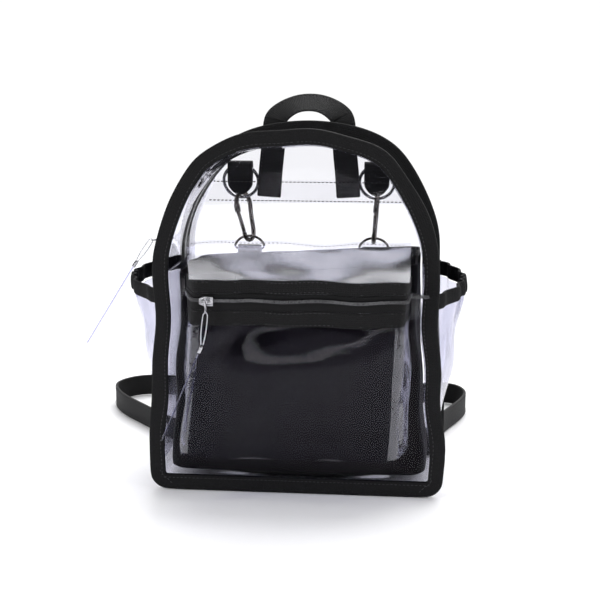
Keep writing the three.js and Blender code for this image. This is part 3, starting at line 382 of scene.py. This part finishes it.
def placeSource(nodes, links, source, scale=(1, 1, 1)):
    if source == "uv":
        start = addNode(nodes, "ShaderNodeUVMap", uv_map="tapeUv").outputs[0]
    else:
        start = addNode(nodes, "ShaderNodeTexCoord").outputs["Object"]
    mapping = addNode(nodes, "ShaderNodeMapping")
    mapping.inputs["Scale"].default_value = scale
    links.new(start, mapping.inputs["Vector"])
    return mapping.outputs[0]


def noiseValue(nodes, links, source, scale, detail=2.0, stretch=(1, 1, 1), roughness=0.5, distortion=0.0):
    node = addNode(nodes, "ShaderNodeTexNoise")
    node.inputs["Scale"].default_value = scale
    node.inputs["Detail"].default_value = detail
    node.inputs["Roughness"].default_value = roughness
    node.inputs["Distortion"].default_value = distortion
    links.new(placeSource(nodes, links, source, stretch), node.inputs["Vector"])
    return node.outputs["Fac"]


def mapped(nodes, links, value, low, high, fromLow=0.0, fromHigh=1.0):
    node = addNode(nodes, "ShaderNodeMapRange")
    links.new(value, node.inputs["Value"])
    for key, number in (("From Min", fromLow), ("From Max", fromHigh), ("To Min", low), ("To Max", high)):
        node.inputs[key].default_value = number
    return node.outputs["Result"]


def bumpNode(nodes, links, height, distance, strength=1.0, below=None):
    node = addNode(nodes, "ShaderNodeBump")
    node.inputs["Strength"].default_value = strength
    node.inputs["Distance"].default_value = distance
    links.new(height, node.inputs["Height"])
    if below is not None:
        links.new(below, node.inputs["Normal"])
    return node.outputs["Normal"]


def mixColour(nodes, links, share, first, second):
    node = addNode(nodes, "ShaderNodeMix", data_type="RGBA")
    links.new(share, node.inputs["Factor"])
    for socket, colour in zip([s for s in node.inputs if s.type == "RGBA"], (first, second)):
        socket.default_value = (*colour, 1)
    return next(s for s in node.outputs if s.type == "RGBA")


# Clear film: what is behind it shows, and it shines by its angle, with slow waves and fine creases
def filmMaterial(name, tint=(0.975, 0.975, 0.985), gloss=0.045, waveSize=22, waveDepth=0.5, fold=(1, 1, 1),
                 crease=0.12, creaseSize=60, faceShine=0.004):
    made, nodes, links = newMaterial(name)
    slow = noiseValue(nodes, links, "object", waveSize, 1.5, fold, 0.4, 0.3)
    sharp = noiseValue(nodes, links, "object", creaseSize, 3.0, (1, 1, 1), 0.55, 0.6)
    ridge = mathNode(nodes, links, "ABSOLUTE", mathNode(nodes, links, "SUBTRACT", sharp, 0.5), 0)
    normal = bumpNode(nodes, links, slow, waveDepth * mm)
    normal = bumpNode(nodes, links, ridge, crease * mm, 1.0, normal)
    facing = addNode(nodes, "ShaderNodeLayerWeight", Blend=0.5)
    links.new(normal, facing.inputs["Normal"])
    steep = mathNode(nodes, links, "POWER", facing.outputs["Facing"], 4.6)
    shine = mathNode(nodes, links, "ADD", mathNode(nodes, links, "MULTIPLY", steep, 0.9), faceShine)
    through = addNode(nodes, "ShaderNodeBsdfTransparent", Color=(*tint, 1))
    mirror = addNode(nodes, "ShaderNodeBsdfAnisotropic", Color=(0.97, 0.97, 1.0, 1), Roughness=gloss)
    links.new(normal, mirror.inputs["Normal"])
    mix = addNode(nodes, "ShaderNodeMixShader")
    links.new(shine, mix.inputs[0])
    links.new(through.outputs[0], mix.inputs[1])
    links.new(mirror.outputs[0], mix.inputs[2])
    out = addNode(nodes, "ShaderNodeOutputMaterial")
    links.new(mix.outputs[0], out.inputs["Surface"])
    return made


def surface(nodes, links, colour, roughness, normal, metallic=0.0, sheen=0.0, specular=0.5):
    shader = addNode(nodes, "ShaderNodeBsdfPrincipled")
    for key, value in (("Base Color", colour), ("Roughness", roughness), ("Normal", normal)):
        if isinstance(value, bpy.types.NodeSocket):
            links.new(value, shader.inputs[key])
        elif value is not None:
            shader.inputs[key].default_value = (*value, 1) if key == "Base Color" else value
    shader.inputs["Metallic"].default_value = metallic
    shader.inputs["Sheen Weight"].default_value = sheen
    shader.inputs["Sheen Roughness"].default_value = 0.4
    shader.inputs["Specular IOR Level"].default_value = specular
    out = addNode(nodes, "ShaderNodeOutputMaterial")
    links.new(shader.outputs[0], out.inputs["Surface"])
    return shader


# Knitted seam tape: small pebbles in rows along the tape, with painted shade in the hollows between them
def knitMaterial(name, dark=(0.0015, 0.0015, 0.002), light=(0.008, 0.008, 0.009), pebble=1.25):
    made, nodes, links = newMaterial(name)
    cells = addNode(nodes, "ShaderNodeTexVoronoi", feature="F1")
    cells.inputs["Scale"].default_value = 1 / (pebble * mm)
    cells.inputs["Randomness"].default_value = 0.35
    links.new(placeSource(nodes, links, "uv", (1, 0.8, 1)), cells.inputs["Vector"])
    height = mapped(nodes, links, cells.outputs["Distance"], 1, 0, 0.1, 0.75)
    fuzz = noiseValue(nodes, links, "object", 2500, 3)
    normal = bumpNode(nodes, links, height, 0.35 * mm)
    normal = bumpNode(nodes, links, fuzz, 0.08 * mm, 1.0, normal)
    # Colour by pebble height: painted shade darkens the hollows between pebbles and lighter tops stand for
    # light on them; the fuzz adds random tone
    colour = mixColour(nodes, links, mathNode(nodes, links, "MULTIPLY", height, fuzz), dark, light)
    roughness = mapped(nodes, links, fuzz, 0.62, 0.9)
    surface(nodes, links, colour, roughness, normal, specular=0.25)
    return made


# Flat webbing: ribs across, with lengthwise yarns, and painted light and shade on the ribs
def webbingMaterial(name, dark=(0.002, 0.002, 0.0025), light=(0.009, 0.009, 0.011), rib=1.3):
    made, nodes, links = newMaterial(name)
    ribs = addNode(nodes, "ShaderNodeTexWave", wave_type="BANDS", bands_direction="X")
    ribs.inputs["Scale"].default_value = 1 / (rib * mm) / 3.14
    ribs.inputs["Distortion"].default_value = 0.6
    ribs.inputs["Detail"].default_value = 1.0
    links.new(placeSource(nodes, links, "uv"), ribs.inputs["Vector"])
    yarns = addNode(nodes, "ShaderNodeTexWave", wave_type="BANDS", bands_direction="Y")
    yarns.inputs["Scale"].default_value = 1 / (0.9 * mm) / 3.14
    links.new(placeSource(nodes, links, "uv"), yarns.inputs["Vector"])
    height = mathNode(nodes, links, "MULTIPLY", ribs.outputs["Fac"], yarns.outputs["Fac"])
    fuzz = noiseValue(nodes, links, "object", 1800, 3)
    normal = bumpNode(nodes, links, height, 0.22 * mm)
    normal = bumpNode(nodes, links, fuzz, 0.06 * mm, 1.0, normal)
    # Colour by rib and yarn height: painted light on the raised crests and painted shade in the grooves; the
    # fuzz adds random tone
    colour = mixColour(nodes, links, mathNode(nodes, links, "MULTIPLY", height, fuzz), dark, light)
    surface(nodes, links, colour, mapped(nodes, links, fuzz, 0.5, 0.8), normal, specular=0.3)
    return made


# Zip tape: fine twill, with painted light and shade along the twill lines
def twillMaterial(name):
    made, nodes, links = newMaterial(name)
    twill = addNode(nodes, "ShaderNodeTexWave", wave_type="BANDS", bands_direction="DIAGONAL")
    twill.inputs["Scale"].default_value = 1 / (0.9 * mm) / 3.14
    twill.inputs["Distortion"].default_value = 0.4
    links.new(placeSource(nodes, links, "uv"), twill.inputs["Vector"])
    fuzz = noiseValue(nodes, links, "object", 2200, 3)
    normal = bumpNode(nodes, links, twill.outputs["Fac"], 0.14 * mm)
    # Colour by twill ridge: painted light on the ridges and painted shade in the grooves between them; the
    # fuzz adds random tone
    colour = mixColour(nodes, links, mathNode(nodes, links, "MULTIPLY", twill.outputs["Fac"], fuzz),
                       (0.002, 0.002, 0.0025), (0.007, 0.007, 0.008))
    surface(nodes, links, colour, mapped(nodes, links, fuzz, 0.55, 0.85), normal, specular=0.2)
    return made


# Moulded nylon of the zip's teeth, and sewing thread
def nylonMaterial(name, colour, roughness, grain=900):
    made, nodes, links = newMaterial(name)
    speck = noiseValue(nodes, links, "object", grain, 2)
    shade = mixColour(nodes, links, speck, tuple(0.7 * c for c in colour), colour)
    surface(nodes, links, shade, mapped(nodes, links, speck, roughness - 0.1, roughness + 0.1),
            bumpNode(nodes, links, speck, 0.03 * mm))
    return made


# Polished and dark plated metal, with faint rubbed marks
def metalMaterial(name, colour, roughness, wear):
    made, nodes, links = newMaterial(name)
    cloud = noiseValue(nodes, links, "object", 240, 4, (1, 1, 1), 0.6)
    scratch = noiseValue(nodes, links, "object", 500, 2, (1, 1, 0.08), 0.6)
    shade = mixColour(nodes, links, mapped(nodes, links, cloud, 0, 1, 0.35, 0.7), wear, colour)
    rough = mapped(nodes, links, scratch, roughness * 0.6, roughness * 1.6, 0.3, 0.7)
    surface(nodes, links, shade, rough, bumpNode(nodes, links, scratch, 0.02 * mm), metallic=1.0)
    return made


# Smooth lining cloth with soft vertical folds, its colour going from navy in the fold hollows to maroon on
# the crests, partly painted shade
def liningMaterial(name):
    made, nodes, links = newMaterial(name)
    cloud = noiseValue(nodes, links, "object", 14, 2, (1, 1, 0.35))
    weave = noiseValue(nodes, links, "object", 1600, 2)
    # Colour by fold height: a real navy-to-maroon hue shift, and painted shade that darkens the fold hollows
    # against the lighter crests
    shade = mixColour(nodes, links, cloud, (0.0012, 0.0013, 0.003), (0.004, 0.0025, 0.0035))
    normal = bumpNode(nodes, links, cloud, 1.6 * mm)
    normal = bumpNode(nodes, links, weave, 0.05 * mm, 1.0, normal)
    surface(nodes, links, shade, mapped(nodes, links, weave, 0.5, 0.7), normal, specular=0.05)
    return made


def cordMaterial(name):
    made, nodes, links = newMaterial(name)
    speck = noiseValue(nodes, links, "object", 700, 2)
    shade = mixColour(nodes, links, speck, (0.62, 0.63, 0.7), (0.82, 0.83, 0.88))
    shader = surface(nodes, links, shade, mapped(nodes, links, speck, 0.15, 0.35), None)
    shader.inputs["Transmission Weight"].default_value = 0.35
    return made


finish = {
    "panel": filmMaterial("clear film, panels", fold=(2.2, 1, 0.35)),
    "gusset": filmMaterial("clear film, gusset", tint=(0.92, 0.92, 0.955), waveSize=26, fold=(1, 1, 1)),
    "pocketTop": filmMaterial("clear film, pocket top", tint=(0.93, 0.93, 0.955), gloss=0.2, waveSize=30,
                              waveDepth=0.45, fold=(0.7, 1, 1), faceShine=0.05),
    "pocket": filmMaterial("clear film, pocket", tint=(0.95, 0.95, 0.98), waveSize=12, waveDepth=0.7,
                           fold=(0.8, 1, 1.2), crease=0.12),
    "pocketSide": filmMaterial("clear film, pocket sides", tint=(0.93, 0.93, 0.97), waveSize=60,
                               waveDepth=1.3, fold=(1, 1, 0.3), crease=0.9, creaseSize=120, faceShine=0.05),
    "sidePocket": filmMaterial("clear film, side pockets", tint=(0.86, 0.86, 0.91), waveSize=34,
                               waveDepth=1.2, fold=(1, 1, 0.4), faceShine=0.03),
    "tag": filmMaterial("clear strip", tint=(0.6, 0.6, 0.8), gloss=0.12, waveSize=60, faceShine=0.08),
    "knit": knitMaterial("knitted tape"),
    "hem": knitMaterial("gathered hem tape", pebble=1.1),
    "webbing": webbingMaterial("flat webbing"),
    "zipTape": twillMaterial("zip tape"),
    "coil": nylonMaterial("zip coil", (0.06, 0.06, 0.066), 0.28),
    "thread": nylonMaterial("black thread", (0.02, 0.02, 0.023), 0.6, 3000),
    "chrome": metalMaterial("bright plated metal", (0.5, 0.5, 0.53), 0.16, (0.28, 0.28, 0.3)),
    "darkMetal": metalMaterial("dark plated metal", (0.17, 0.15, 0.14), 0.24, (0.08, 0.07, 0.065)),
    "lining": liningMaterial("lining cloth"),
    "cord": cordMaterial("milky cord"),
}
print("materials made:", len(finish))

# Bound seams
for node in ("front_binding", "back_binding"):
    tape = smoothCopy(node, node + "_tape", levels=2, sharp=40, crease=0.75)
    seamUv(tape, 0.056)
    letDrift(tape)
    settle(tape, finish["knit"], [node])
print("bindings done")

# Clear sheets
sheetPlan = {
    "front_panel": ("panel", 2),
    "back_panel": ("panel", 2),
    "gusset_front_strip": ("gusset", 2),
    "gusset_back_strip": ("gusset", 2),
    "lower_gusset": ("gusset", 2),
    "back_patch": ("panel", 1),
    "pocket_foot": ("pocket", 1),
}
for node, (film, levels) in sheetPlan.items():
    sheet = smoothCopy(node, node + "_film", levels=levels, sharp=50, crease=1.0)
    letDrift(sheet)
    settle(sheet, finish[film], [node])
print("clear sheets done")

# Box pocket: its top is the most crumpled film on the bag, its face bows, its sides are creased
pocket = {"dent": 0.0006, "topWave": 0.0004, "sideFold": 0.0012}


def edgeFade(co, low, high, margin):
    fade = np.ones(len(co))
    for axis in range(3):
        if high[axis] - low[axis] > 4 * margin:
            fromLow = ease(co[:, axis], low[axis], low[axis] + margin)
            fade *= fromLow * ease(-co[:, axis], -high[axis], margin - high[axis])
    return fade


def pocketFilm(node, film, depth, size, stretch, seed, axis, margin=0.012):
    obj = smoothCopy(node, node + "_film", levels=3, sharp=50, crease=1.0)
    co = readVerts(obj)
    low, high = (np.array(corner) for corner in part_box(node))
    push = waves(co, size, seed, stretch) * edgeFade(co, low, high, margin)
    co[:, axis] += depth * push
    writeVerts(obj, driftBy(co))
    settle(obj, finish[film], [node])


pocketFilm("pocket_face", "pocket", pocket["dent"], 0.09, (1.6, 1, 0.8), 21, 1)
pocketFilm("pocket_top", "pocketTop", pocket["topWave"], 0.035, (1.5, 1, 1), 26, 2, 0.006)
pocketFilm("pocket_side_left", "pocketSide", pocket["sideFold"], 0.016, (1, 1, 3), 23, 0, 0.006)
pocketFilm("pocket_side_right", "pocketSide", pocket["sideFold"], 0.016, (1, 1, 3), 24, 0, 0.006)


def planPath(node, height):
    co = np.array([v.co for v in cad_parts[node].data.vertices])
    low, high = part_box(node)
    ring = co[np.abs(co[:, 2] - high.z) < 0.3 * mm]
    middle = np.array([(low.x + high.x) / 2, high.y - 0.5 * mm])
    turn = np.arctan2(ring[:, 1] - middle[1], ring[:, 0] - middle[0])
    order = np.argsort(turn)
    ring, turn = ring[order], turn[order]
    reach = np.linalg.norm(ring[:, :2] - middle, axis=1)
    path = []
    for i in range(len(ring)):
        same = np.abs(turn - turn[i]) < 0.012
        if reach[i] >= reach[same].max() - 1e-6:
            path.append([ring[i, 0], ring[i, 1], height])
    clean = [path[0]]
    for point in path[1:]:
        if np.linalg.norm(np.array(point) - np.array(clean[-1])) > 1.0 * mm:
            clean.append(point)
    return np.array(clean)


bandParts = {
    "pocket_band_upper": ("knit", "seam_tape", 2),
    "pocket_band_lower": ("knit", "seam_tape", 2),
    "pocket_tape_upper": ("zipTape", "zip_tape", 1),
    "pocket_tape_lower": ("zipTape", "zip_tape", 1),
    "pocket_coil": ("coil", "zip_tape", 1),
}
for node, (look, slot, levels) in bandParts.items():
    part = smoothCopy(node, node + "_strip", levels=levels, sharp=50, crease=0.9)
    co = readVerts(part)
    place, _, _, _ = alongPath(co * np.array([1, 1, 0]), planPath(node, 0.0))
    writeUv(part, place, co[:, 2])
    writeVerts(part, driftBy(co))
    settle(part, finish[look], [node])
print("box pocket done")

# Main zip's tapes and coil
mainZip = {"zipper_tape_front": "zipTape", "zipper_tape_back": "zipTape", "zipper_coil": "coil"}
for node, look in mainZip.items():
    part = smoothCopy(node, node + "_strip", levels=1, sharp=50, crease=0.9)
    seamUv(part, 0.0)
    letDrift(part)
    settle(part, finish[look], [node])

# Side pockets: the elastic in the hem draws film and tape into upright pleats
pleats = {"hem": 0.0016, "film": 0.0013, "count": 9, "fade": 0.05, "sway": 0.0012, "swaySize": 0.04}


def pleatBy(co, side, depth):
    low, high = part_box("side_pocket_" + side)
    span = (co[:, 1] - low.y) / (high.y - low.y)
    curve = np.sin(2 * math.pi * pleats["count"] * (span + 0.03 * np.sin(14 * span)))
    loose = ease(span, 0, 0.12) * ease(1 - span, 0, 0.12)
    fade = ease(co[:, 2], high.z - pleats["fade"], high.z - 0.002)
    outward = -1 if side == "left" else 1
    co = co.copy()
    co[:, 0] += outward * depth * curve * loose * fade
    return co


for side in ("left", "right"):
    node, hemNode = "side_pocket_" + side, "side_pocket_hem_" + side
    film = smoothCopy(node, node + "_film", levels=3, sharp=50, crease=1.0)
    co = pleatBy(readVerts(film), side, pleats["film"])
    clearOfBag = ease(np.abs(co[:, 0]), 0.104, 0.114)
    co[:, 0] += pleats["sway"] * waves(co, pleats["swaySize"], 31) * clearOfBag
    writeVerts(film, driftBy(co))
    settle(film, finish["sidePocket"], [node])
    hem = smoothCopy(hemNode, hemNode + "_tape", levels=3, sharp=60, crease=0.3)
    co = pleatBy(readVerts(hem), side, pleats["hem"])
    writeUv(hem, co[:, 1], co[:, 2])
    writeVerts(hem, driftBy(co))
    settle(hem, finish["hem"], [hemNode])
print("side pockets done")

# Pouch of lining cloth: folds run down it and never stand out past its plain form
pouch = {"fold": 0.0034, "size": 0.03}
lining = smoothCopy("inner_pouch", "inner_pouch_cloth", levels=3, sharp=60, crease=0.5)
co = readVerts(lining)
fold = 0.5 + 0.5 * np.tanh(waves(co, pouch["size"], 41, (1, 1, 6)))
upright = ease(co[:, 2], 0.02, 0.06)
inward = -co * np.array([1, 1, 0])
inward /= np.maximum(np.linalg.norm(inward, axis=1), 1e-6)[:, None]
writeVerts(lining, driftBy(co + inward * (pouch["fold"] * fold * upright)[:, None]))
settle(lining, finish["lining"], ["inner_pouch"])
print("pouch done")

# Webbing: handle, tabs and straps
threadRows = []
webThread = {"pitch": 3.0 * mm, "length": 2.1 * mm, "thick": 0.55 * mm}


def ribbonPiece(node):
    centres, widths = ribbonLine(node)
    piece = smoothCopy(node, node + "_web", levels=2, sharp=50, crease=0.72)
    co = readVerts(piece)
    place, _, which, _ = alongPath(co, centres)
    offset = co - centres[which]
    writeUv(piece, place, (offset * widths[which]).sum(1))
    settle(piece, finish["webbing"], [node])
    return centres, widths


def ribbonStitches(centres, widths, halfWidth, halfWall):
    fine = roundedPath(centres, 5, False)
    fineWidths = roundedPath(widths, 5, False)
    fineWidths /= np.linalg.norm(fineWidths, axis=1)[:, None]
    heading = np.gradient(fine, axis=0)
    outward = np.cross(heading, fineWidths)
    outward /= np.linalg.norm(outward, axis=1)[:, None]
    for across in (-1, 1):
        for face in (-1, 1):
            row = fine + across * halfWidth * fineWidths + face * halfWall * outward
            threadRows.extend(stitchRow(row, face * outward, **webThread))


# Half width and half wall of each web, in millimetres, where its edge stitches run
webPlan = {"strap_left": (7.6, 1.22), "strap_right": (7.6, 1.22), "handle": (8.0, 0.84)}
for node, (halfWidth, halfWall) in webPlan.items():
    centres, widths = ribbonPiece(node)
    ribbonStitches(centres, widths, halfWidth * mm, halfWall * mm)
for side in ("left", "right"):
    node = "ring_tab_" + side
    tab = smoothCopy(node, node + "_web", levels=2, sharp=60, crease=0.6)
    co = readVerts(tab)
    writeUv(tab, co[:, 2], co[:, 0])
    settle(tab, finish["webbing"], [node])
print("webbing done")

# Rings, hooks and their gates
for side in ("left", "right"):
    ring = smoothCopy("ring_" + side, "ring_" + side + "_metal", levels=2, sharp=80)
    settle(ring, finish["chrome"], ["ring_" + side], angle=80)
    half = smoothCopy("base_ring_" + side, "base_ring_" + side + "_metal", levels=2, sharp=80)
    settle(half, finish["darkMetal"], ["base_ring_" + side], angle=80)
    for part, body in (("hook_body_", root), ("hook_gate_", "gate_" + side)):
        metal = copyNode(part + side, part + side + "_metal", toQuads=False)
        useModifier(metal, "REMESH", mode="VOXEL", voxel_size=0.32 * mm, use_smooth_shade=True)
        useModifier(metal, "SMOOTH", factor=0.5, iterations=4)
        settle(metal, finish["darkMetal"], [part + side], body, angle=60)

# Zip sliders and their pulls
for node in ("pocket_slider", "main_slider"):
    slider = copyNode(node, node + "_metal", toQuads=False)
    useModifier(slider, "REMESH", mode="VOXEL", voxel_size=0.2 * mm, use_smooth_shade=True)
    useModifier(slider, "SMOOTH", factor=0.5, iterations=3)
    settle(slider, finish["chrome"], [node], angle=60)
for prefix in ("pocket_pull_", "main_pull_"):
    link = smoothCopy(prefix + "link", prefix + "link_wire", levels=2, sharp=80)
    settle(link, finish["chrome"], [prefix + "link"], angle=80)
    cord = smoothCopy(prefix + "cord", prefix + "cord_loop", levels=2, sharp=70)
    settle(cord, finish["cord"], [prefix + "cord"], angle=80)
    ferrule = copyNode(prefix + "ferrule", prefix + "ferrule_metal")
    useModifier(ferrule, "BEVEL", width=0.5 * mm, segments=3, limit_method="ANGLE")
    settle(ferrule, finish["chrome"], [prefix + "ferrule"])
    tag = smoothCopy(prefix + "tag", prefix + "tag_strip", levels=3, sharp=50, crease=0.9)
    settle(tag, finish["tag"], [prefix + "tag"])
print("metal and pulls done")

# Teeth of both zips: one bevelled bar, copied along each coil on its two sides
mainTooth = {"pitch": 1.5 * mm, "length": 0.95 * mm, "width": 2.5 * mm, "rise": 0.7 * mm}
mainTooth |= {"apart": 1.15 * mm, "out": 0.1 * mm}
pocketTooth = {"pitch": 1.15 * mm, "length": 0.72 * mm, "width": 1.3 * mm, "rise": 0.6 * mm}
pocketTooth |= {"apart": 0.6 * mm, "out": 0.25 * mm}


def toothShape():
    bpy.ops.object.select_all(action="DESELECT")
    bpy.ops.mesh.primitive_cube_add(size=1)
    obj = bpy.context.object
    obj.name = "toothShape"
    bpy.ops.object.mode_set(mode="EDIT")
    bpy.ops.mesh.select_all(action="SELECT")
    bpy.ops.mesh.bevel(offset=0.28, segments=1, affect="EDGES")
    bpy.ops.object.mode_set(mode="OBJECT")
    return obj


def evenPlaces(path, pitch):
    before = np.concatenate([[0], np.cumsum(np.linalg.norm(np.diff(path, axis=0), axis=1))])
    places = np.arange(pitch / 2, before[-1], pitch)

    def pointsAt(shift):
        where = places + shift * pitch
        return np.stack([np.interp(where, before, path[:, i]) for i in range(3)], axis=1)

    return pointsAt(0), pointsAt(0.2) - pointsAt(-0.2)


def teethAlong(name, path, size, sideways, middle):
    at, heading = evenPlaces(path, size["pitch"])
    places = []
    for point, along in zip(at, heading):
        outward = np.cross(sideways, along)
        outward = outward / np.linalg.norm(outward)
        if outward @ (point - middle) < 0:
            outward = -outward
        stagger = along * (0.25 * size["pitch"] / np.linalg.norm(along))
        for sign in (-1, 1):
            here = point + outward * size["out"] + sign * (np.array(sideways) * size["apart"] + stagger)
            shape = Matrix.Diagonal((size["length"], size["width"], size["rise"], 1))
            places.append(placeAt(here, along, outward) @ shape)
    teeth = stamp(name, tooth, places)
    letDrift(teeth)
    settle(teeth, finish["coil"])
    return len(teeth.data.polygons)


def crestPath():
    coilY = sum(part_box("zipper_coil"), Vector()).y / 2
    co = np.array([v.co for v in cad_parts["zipper_coil"].data.vertices])
    co = co[np.abs(co[:, 1] - coilY) < 1.5 * mm]
    radius = np.linalg.norm((co - bagMiddle)[:, [0, 2]], axis=1)
    angles = np.arctan2(co[:, 0], co[:, 2] - bagMiddle[2])
    path = []
    for angle in np.unique(np.round(angles, 3)):
        near = np.abs(angles - angle) < 0.002
        point = co[near][radius[near].argmax()]
        path.append([point[0], coilY, point[2]])
    return roundedPath(np.array(path), 3, False)


tooth = toothShape()
coilMiddle = sum(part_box("pocket_coil"), Vector()) / 2
coilPath = roundedPath(planPath("pocket_coil", coilMiddle.z), 3, False)
coilCentre = np.array([coilMiddle.x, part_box("pocket_coil")[1].y, 0])
toothFaces = teethAlong("main_zip_teeth", crestPath(), mainTooth, (0, 1, 0), bagMiddle)
toothFaces += teethAlong("pocket_zip_teeth", coilPath, pocketTooth, (0, 0, 1), coilCentre)
bpy.data.objects.remove(tooth)
print("zip teeth done:", toothFaces)

# Sewing: rows of thread along the seams, the band, the back and the webbing
sewing = {"pitch": 3.2 * mm, "length": 2.2 * mm, "thick": 0.55 * mm}
innerRow = {"pitch": 3.4 * mm, "length": 2.4 * mm, "thick": 0.9 * mm}
outerRow = {"pitch": 3.4 * mm, "length": 2.4 * mm, "thick": 0.6 * mm}
pocketRow = {"pitch": 3.0 * mm, "length": 2.0 * mm, "thick": 0.5 * mm}
backFace = 0.0548
bindingFace = 0.0561


def seamInsetPath(inset, y):
    heading = np.roll(fineSeam, -1, axis=0) - np.roll(fineSeam, 1, axis=0)
    inward = np.cross(heading, [0, 1, 0])
    inward /= np.linalg.norm(inward, axis=1)[:, None]
    inward *= np.sign((inward * (bagMiddle - fineSeam)).sum(1))[:, None]
    path = fineSeam + inward * inset
    path[:, 1] = y
    return np.vstack([path, path[:1]])


thread = threadShape()
seamThread = []
for out in (-1, 1):
    path = seamInsetPath(10 * mm, out * bindingFace)
    seamThread += stitchRow(path, np.tile([0, out, 0], (len(path), 1)), **sewing)
bandEdges = {"pocket_band_upper": (0.9, 0.12), "pocket_band_lower": (0.88, 0.12)}
for node, shares in bandEdges.items():
    low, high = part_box(node)
    for share in shares:
        path = planPath(node, low.z + share * (high.z - low.z))
        away = path - np.array([(low.x + high.x) / 2, high.y, 0])
        away[:, 2] = 0
        heading = np.gradient(path, axis=0)
        out = np.cross(heading, [0, 0, 1])
        out *= np.sign((out * away).sum(1))[:, None]
        out /= np.maximum(np.linalg.norm(out, axis=1), 1e-9)[:, None]
        seamThread += stitchRow(path + out * 0.1 * mm, out, **sewing)
bindingThread = stamp("seam_stitches", thread, seamThread)
letDrift(bindingThread)
settle(bindingThread, finish["thread"])


def straightRow(start, stop, y, z, facing, size):
    points = np.array([[x, y, z] for x in np.linspace(start, stop, 40)])
    return stitchRow(points, np.tile([0, facing, 0], (40, 1)), **size)


patchLow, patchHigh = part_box("back_patch")
half = patchHigh.x - 3 * mm
backThread = []
for z in (patchLow.z + 1.6 * mm, patchHigh.z - 1.6 * mm):
    backThread += straightRow(-half, half, patchLow.y - 0.1 * mm, z, -1, innerRow)
    backThread += straightRow(-half, half, backFace, z, 1, outerRow)
low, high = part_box("pocket_top")
seamY, seamZ = high.y - 1.0 * mm, high.z - 1.6 * mm
backThread += straightRow(low.x + 3 * mm, high.x - 3 * mm, seamY, seamZ, -1, pocketRow)
backSewing = stamp("back_stitches", thread, backThread)
letDrift(backSewing)
settle(backSewing, finish["thread"])
webSewing = stamp("webbing_stitches", thread, threadRows)
settle(webSewing, finish["thread"])
bpy.data.objects.remove(thread)
print("sewing done:", len(seamThread) + len(backThread) + len(threadRows), "stitches")

# Studio: white backdrop seen behind, dim room in front, soft lamps
studio = {"dim": 0.02, "bright": 0.95, "sun": 2.4, "floor": 1.3}


def addWorld(s):
    world = bpy.data.worlds.new("studio")
    world.use_nodes = True
    bpy.context.scene.world = world
    nodes, links = world.node_tree.nodes, world.node_tree.links
    nodes.clear()
    direction = addNode(nodes, "ShaderNodeTexCoord").outputs["Generated"]
    lean = addNode(nodes, "ShaderNodeVectorMath", operation="DOT_PRODUCT")
    lean.inputs[1].default_value = (0, 0.8, 0.6)
    links.new(direction, lean.inputs[0])
    glow = addNode(nodes, "ShaderNodeMapRange", interpolation_type="SMOOTHSTEP")
    limits = {"From Min": -0.05, "From Max": 0.9, "To Min": s["dim"], "To Max": s["bright"]}
    for key, number in limits.items():
        glow.inputs[key].default_value = number
    links.new(lean.outputs["Value"], glow.inputs["Value"])
    light = addNode(nodes, "ShaderNodeBackground", Color=(1, 1, 1, 1))
    links.new(glow.outputs["Result"], light.inputs["Strength"])
    paper = addNode(nodes, "ShaderNodeBackground", Color=(1, 1, 1, 1), Strength=1.02)
    seen = addNode(nodes, "ShaderNodeLightPath")
    mix = addNode(nodes, "ShaderNodeMixShader")
    links.new(seen.outputs["Is Camera Ray"], mix.inputs[0])
    links.new(light.outputs[0], mix.inputs[1])
    links.new(paper.outputs[0], mix.inputs[2])
    out = addNode(nodes, "ShaderNodeOutputWorld")
    links.new(mix.outputs[0], out.inputs["Surface"])


def addArea(name, at, aim, size, power):
    data = bpy.data.lights.new(name, "AREA")
    data.shape = "RECTANGLE"
    data.size, data.size_y = size
    data.energy = power
    lamp = bpy.data.objects.new(name, data)
    bpy.context.collection.objects.link(lamp)
    lamp.location = at
    lamp.rotation_euler = (Vector(aim) - Vector(at)).to_track_quat("-Z", "Y").to_euler()


addWorld(studio)
addArea("strip left", (-0.95, -0.75, 0.75), (0, 0, 0.15), (0.16, 1.1), 9)
addArea("strip right", (1.05, -0.6, 0.7), (0, 0, 0.15), (0.16, 1.1), 8)
addArea("overhead", (0.1, 0.35, 1.25), (0, -0.05, 0.15), (0.8, 0.5), 2.4)
addArea("low card", (0.0, -0.95, 0.06), (0, 0, 0.09), (0.9, 0.06), 0.9)
sun = bpy.data.lights.new("soft sun", "SUN")
sun.energy = studio["sun"]
sun.angle = math.radians(55)
sunLamp = bpy.data.objects.new("soft sun", sun)
bpy.context.collection.objects.link(sunLamp)
sunLamp.rotation_euler = (math.radians(-28), math.radians(8), 0)

bpy.ops.object.select_all(action="DESELECT")
bpy.ops.mesh.primitive_circle_add(
    vertices=96, radius=studio["floor"], fill_type="NGON", location=(0, 0.55, -0.0004))
floor = bpy.context.object
floor.name = "floor"
made, nodes, links = newMaterial("pale floor")
grain = noiseValue(nodes, links, "object", 300, 2)
paper = mixColour(nodes, links, grain, (0.93, 0.93, 0.95), (0.96, 0.96, 0.975))
surface(nodes, links, paper, 0.38, None, specular=0.3)
floor.data.materials.append(made)
scene = bpy.context.scene
scene.view_settings.view_transform = "Standard"
scene.cycles.transparent_max_bounces = 40
scene.cycles.max_bounces = 12
print("studio done")
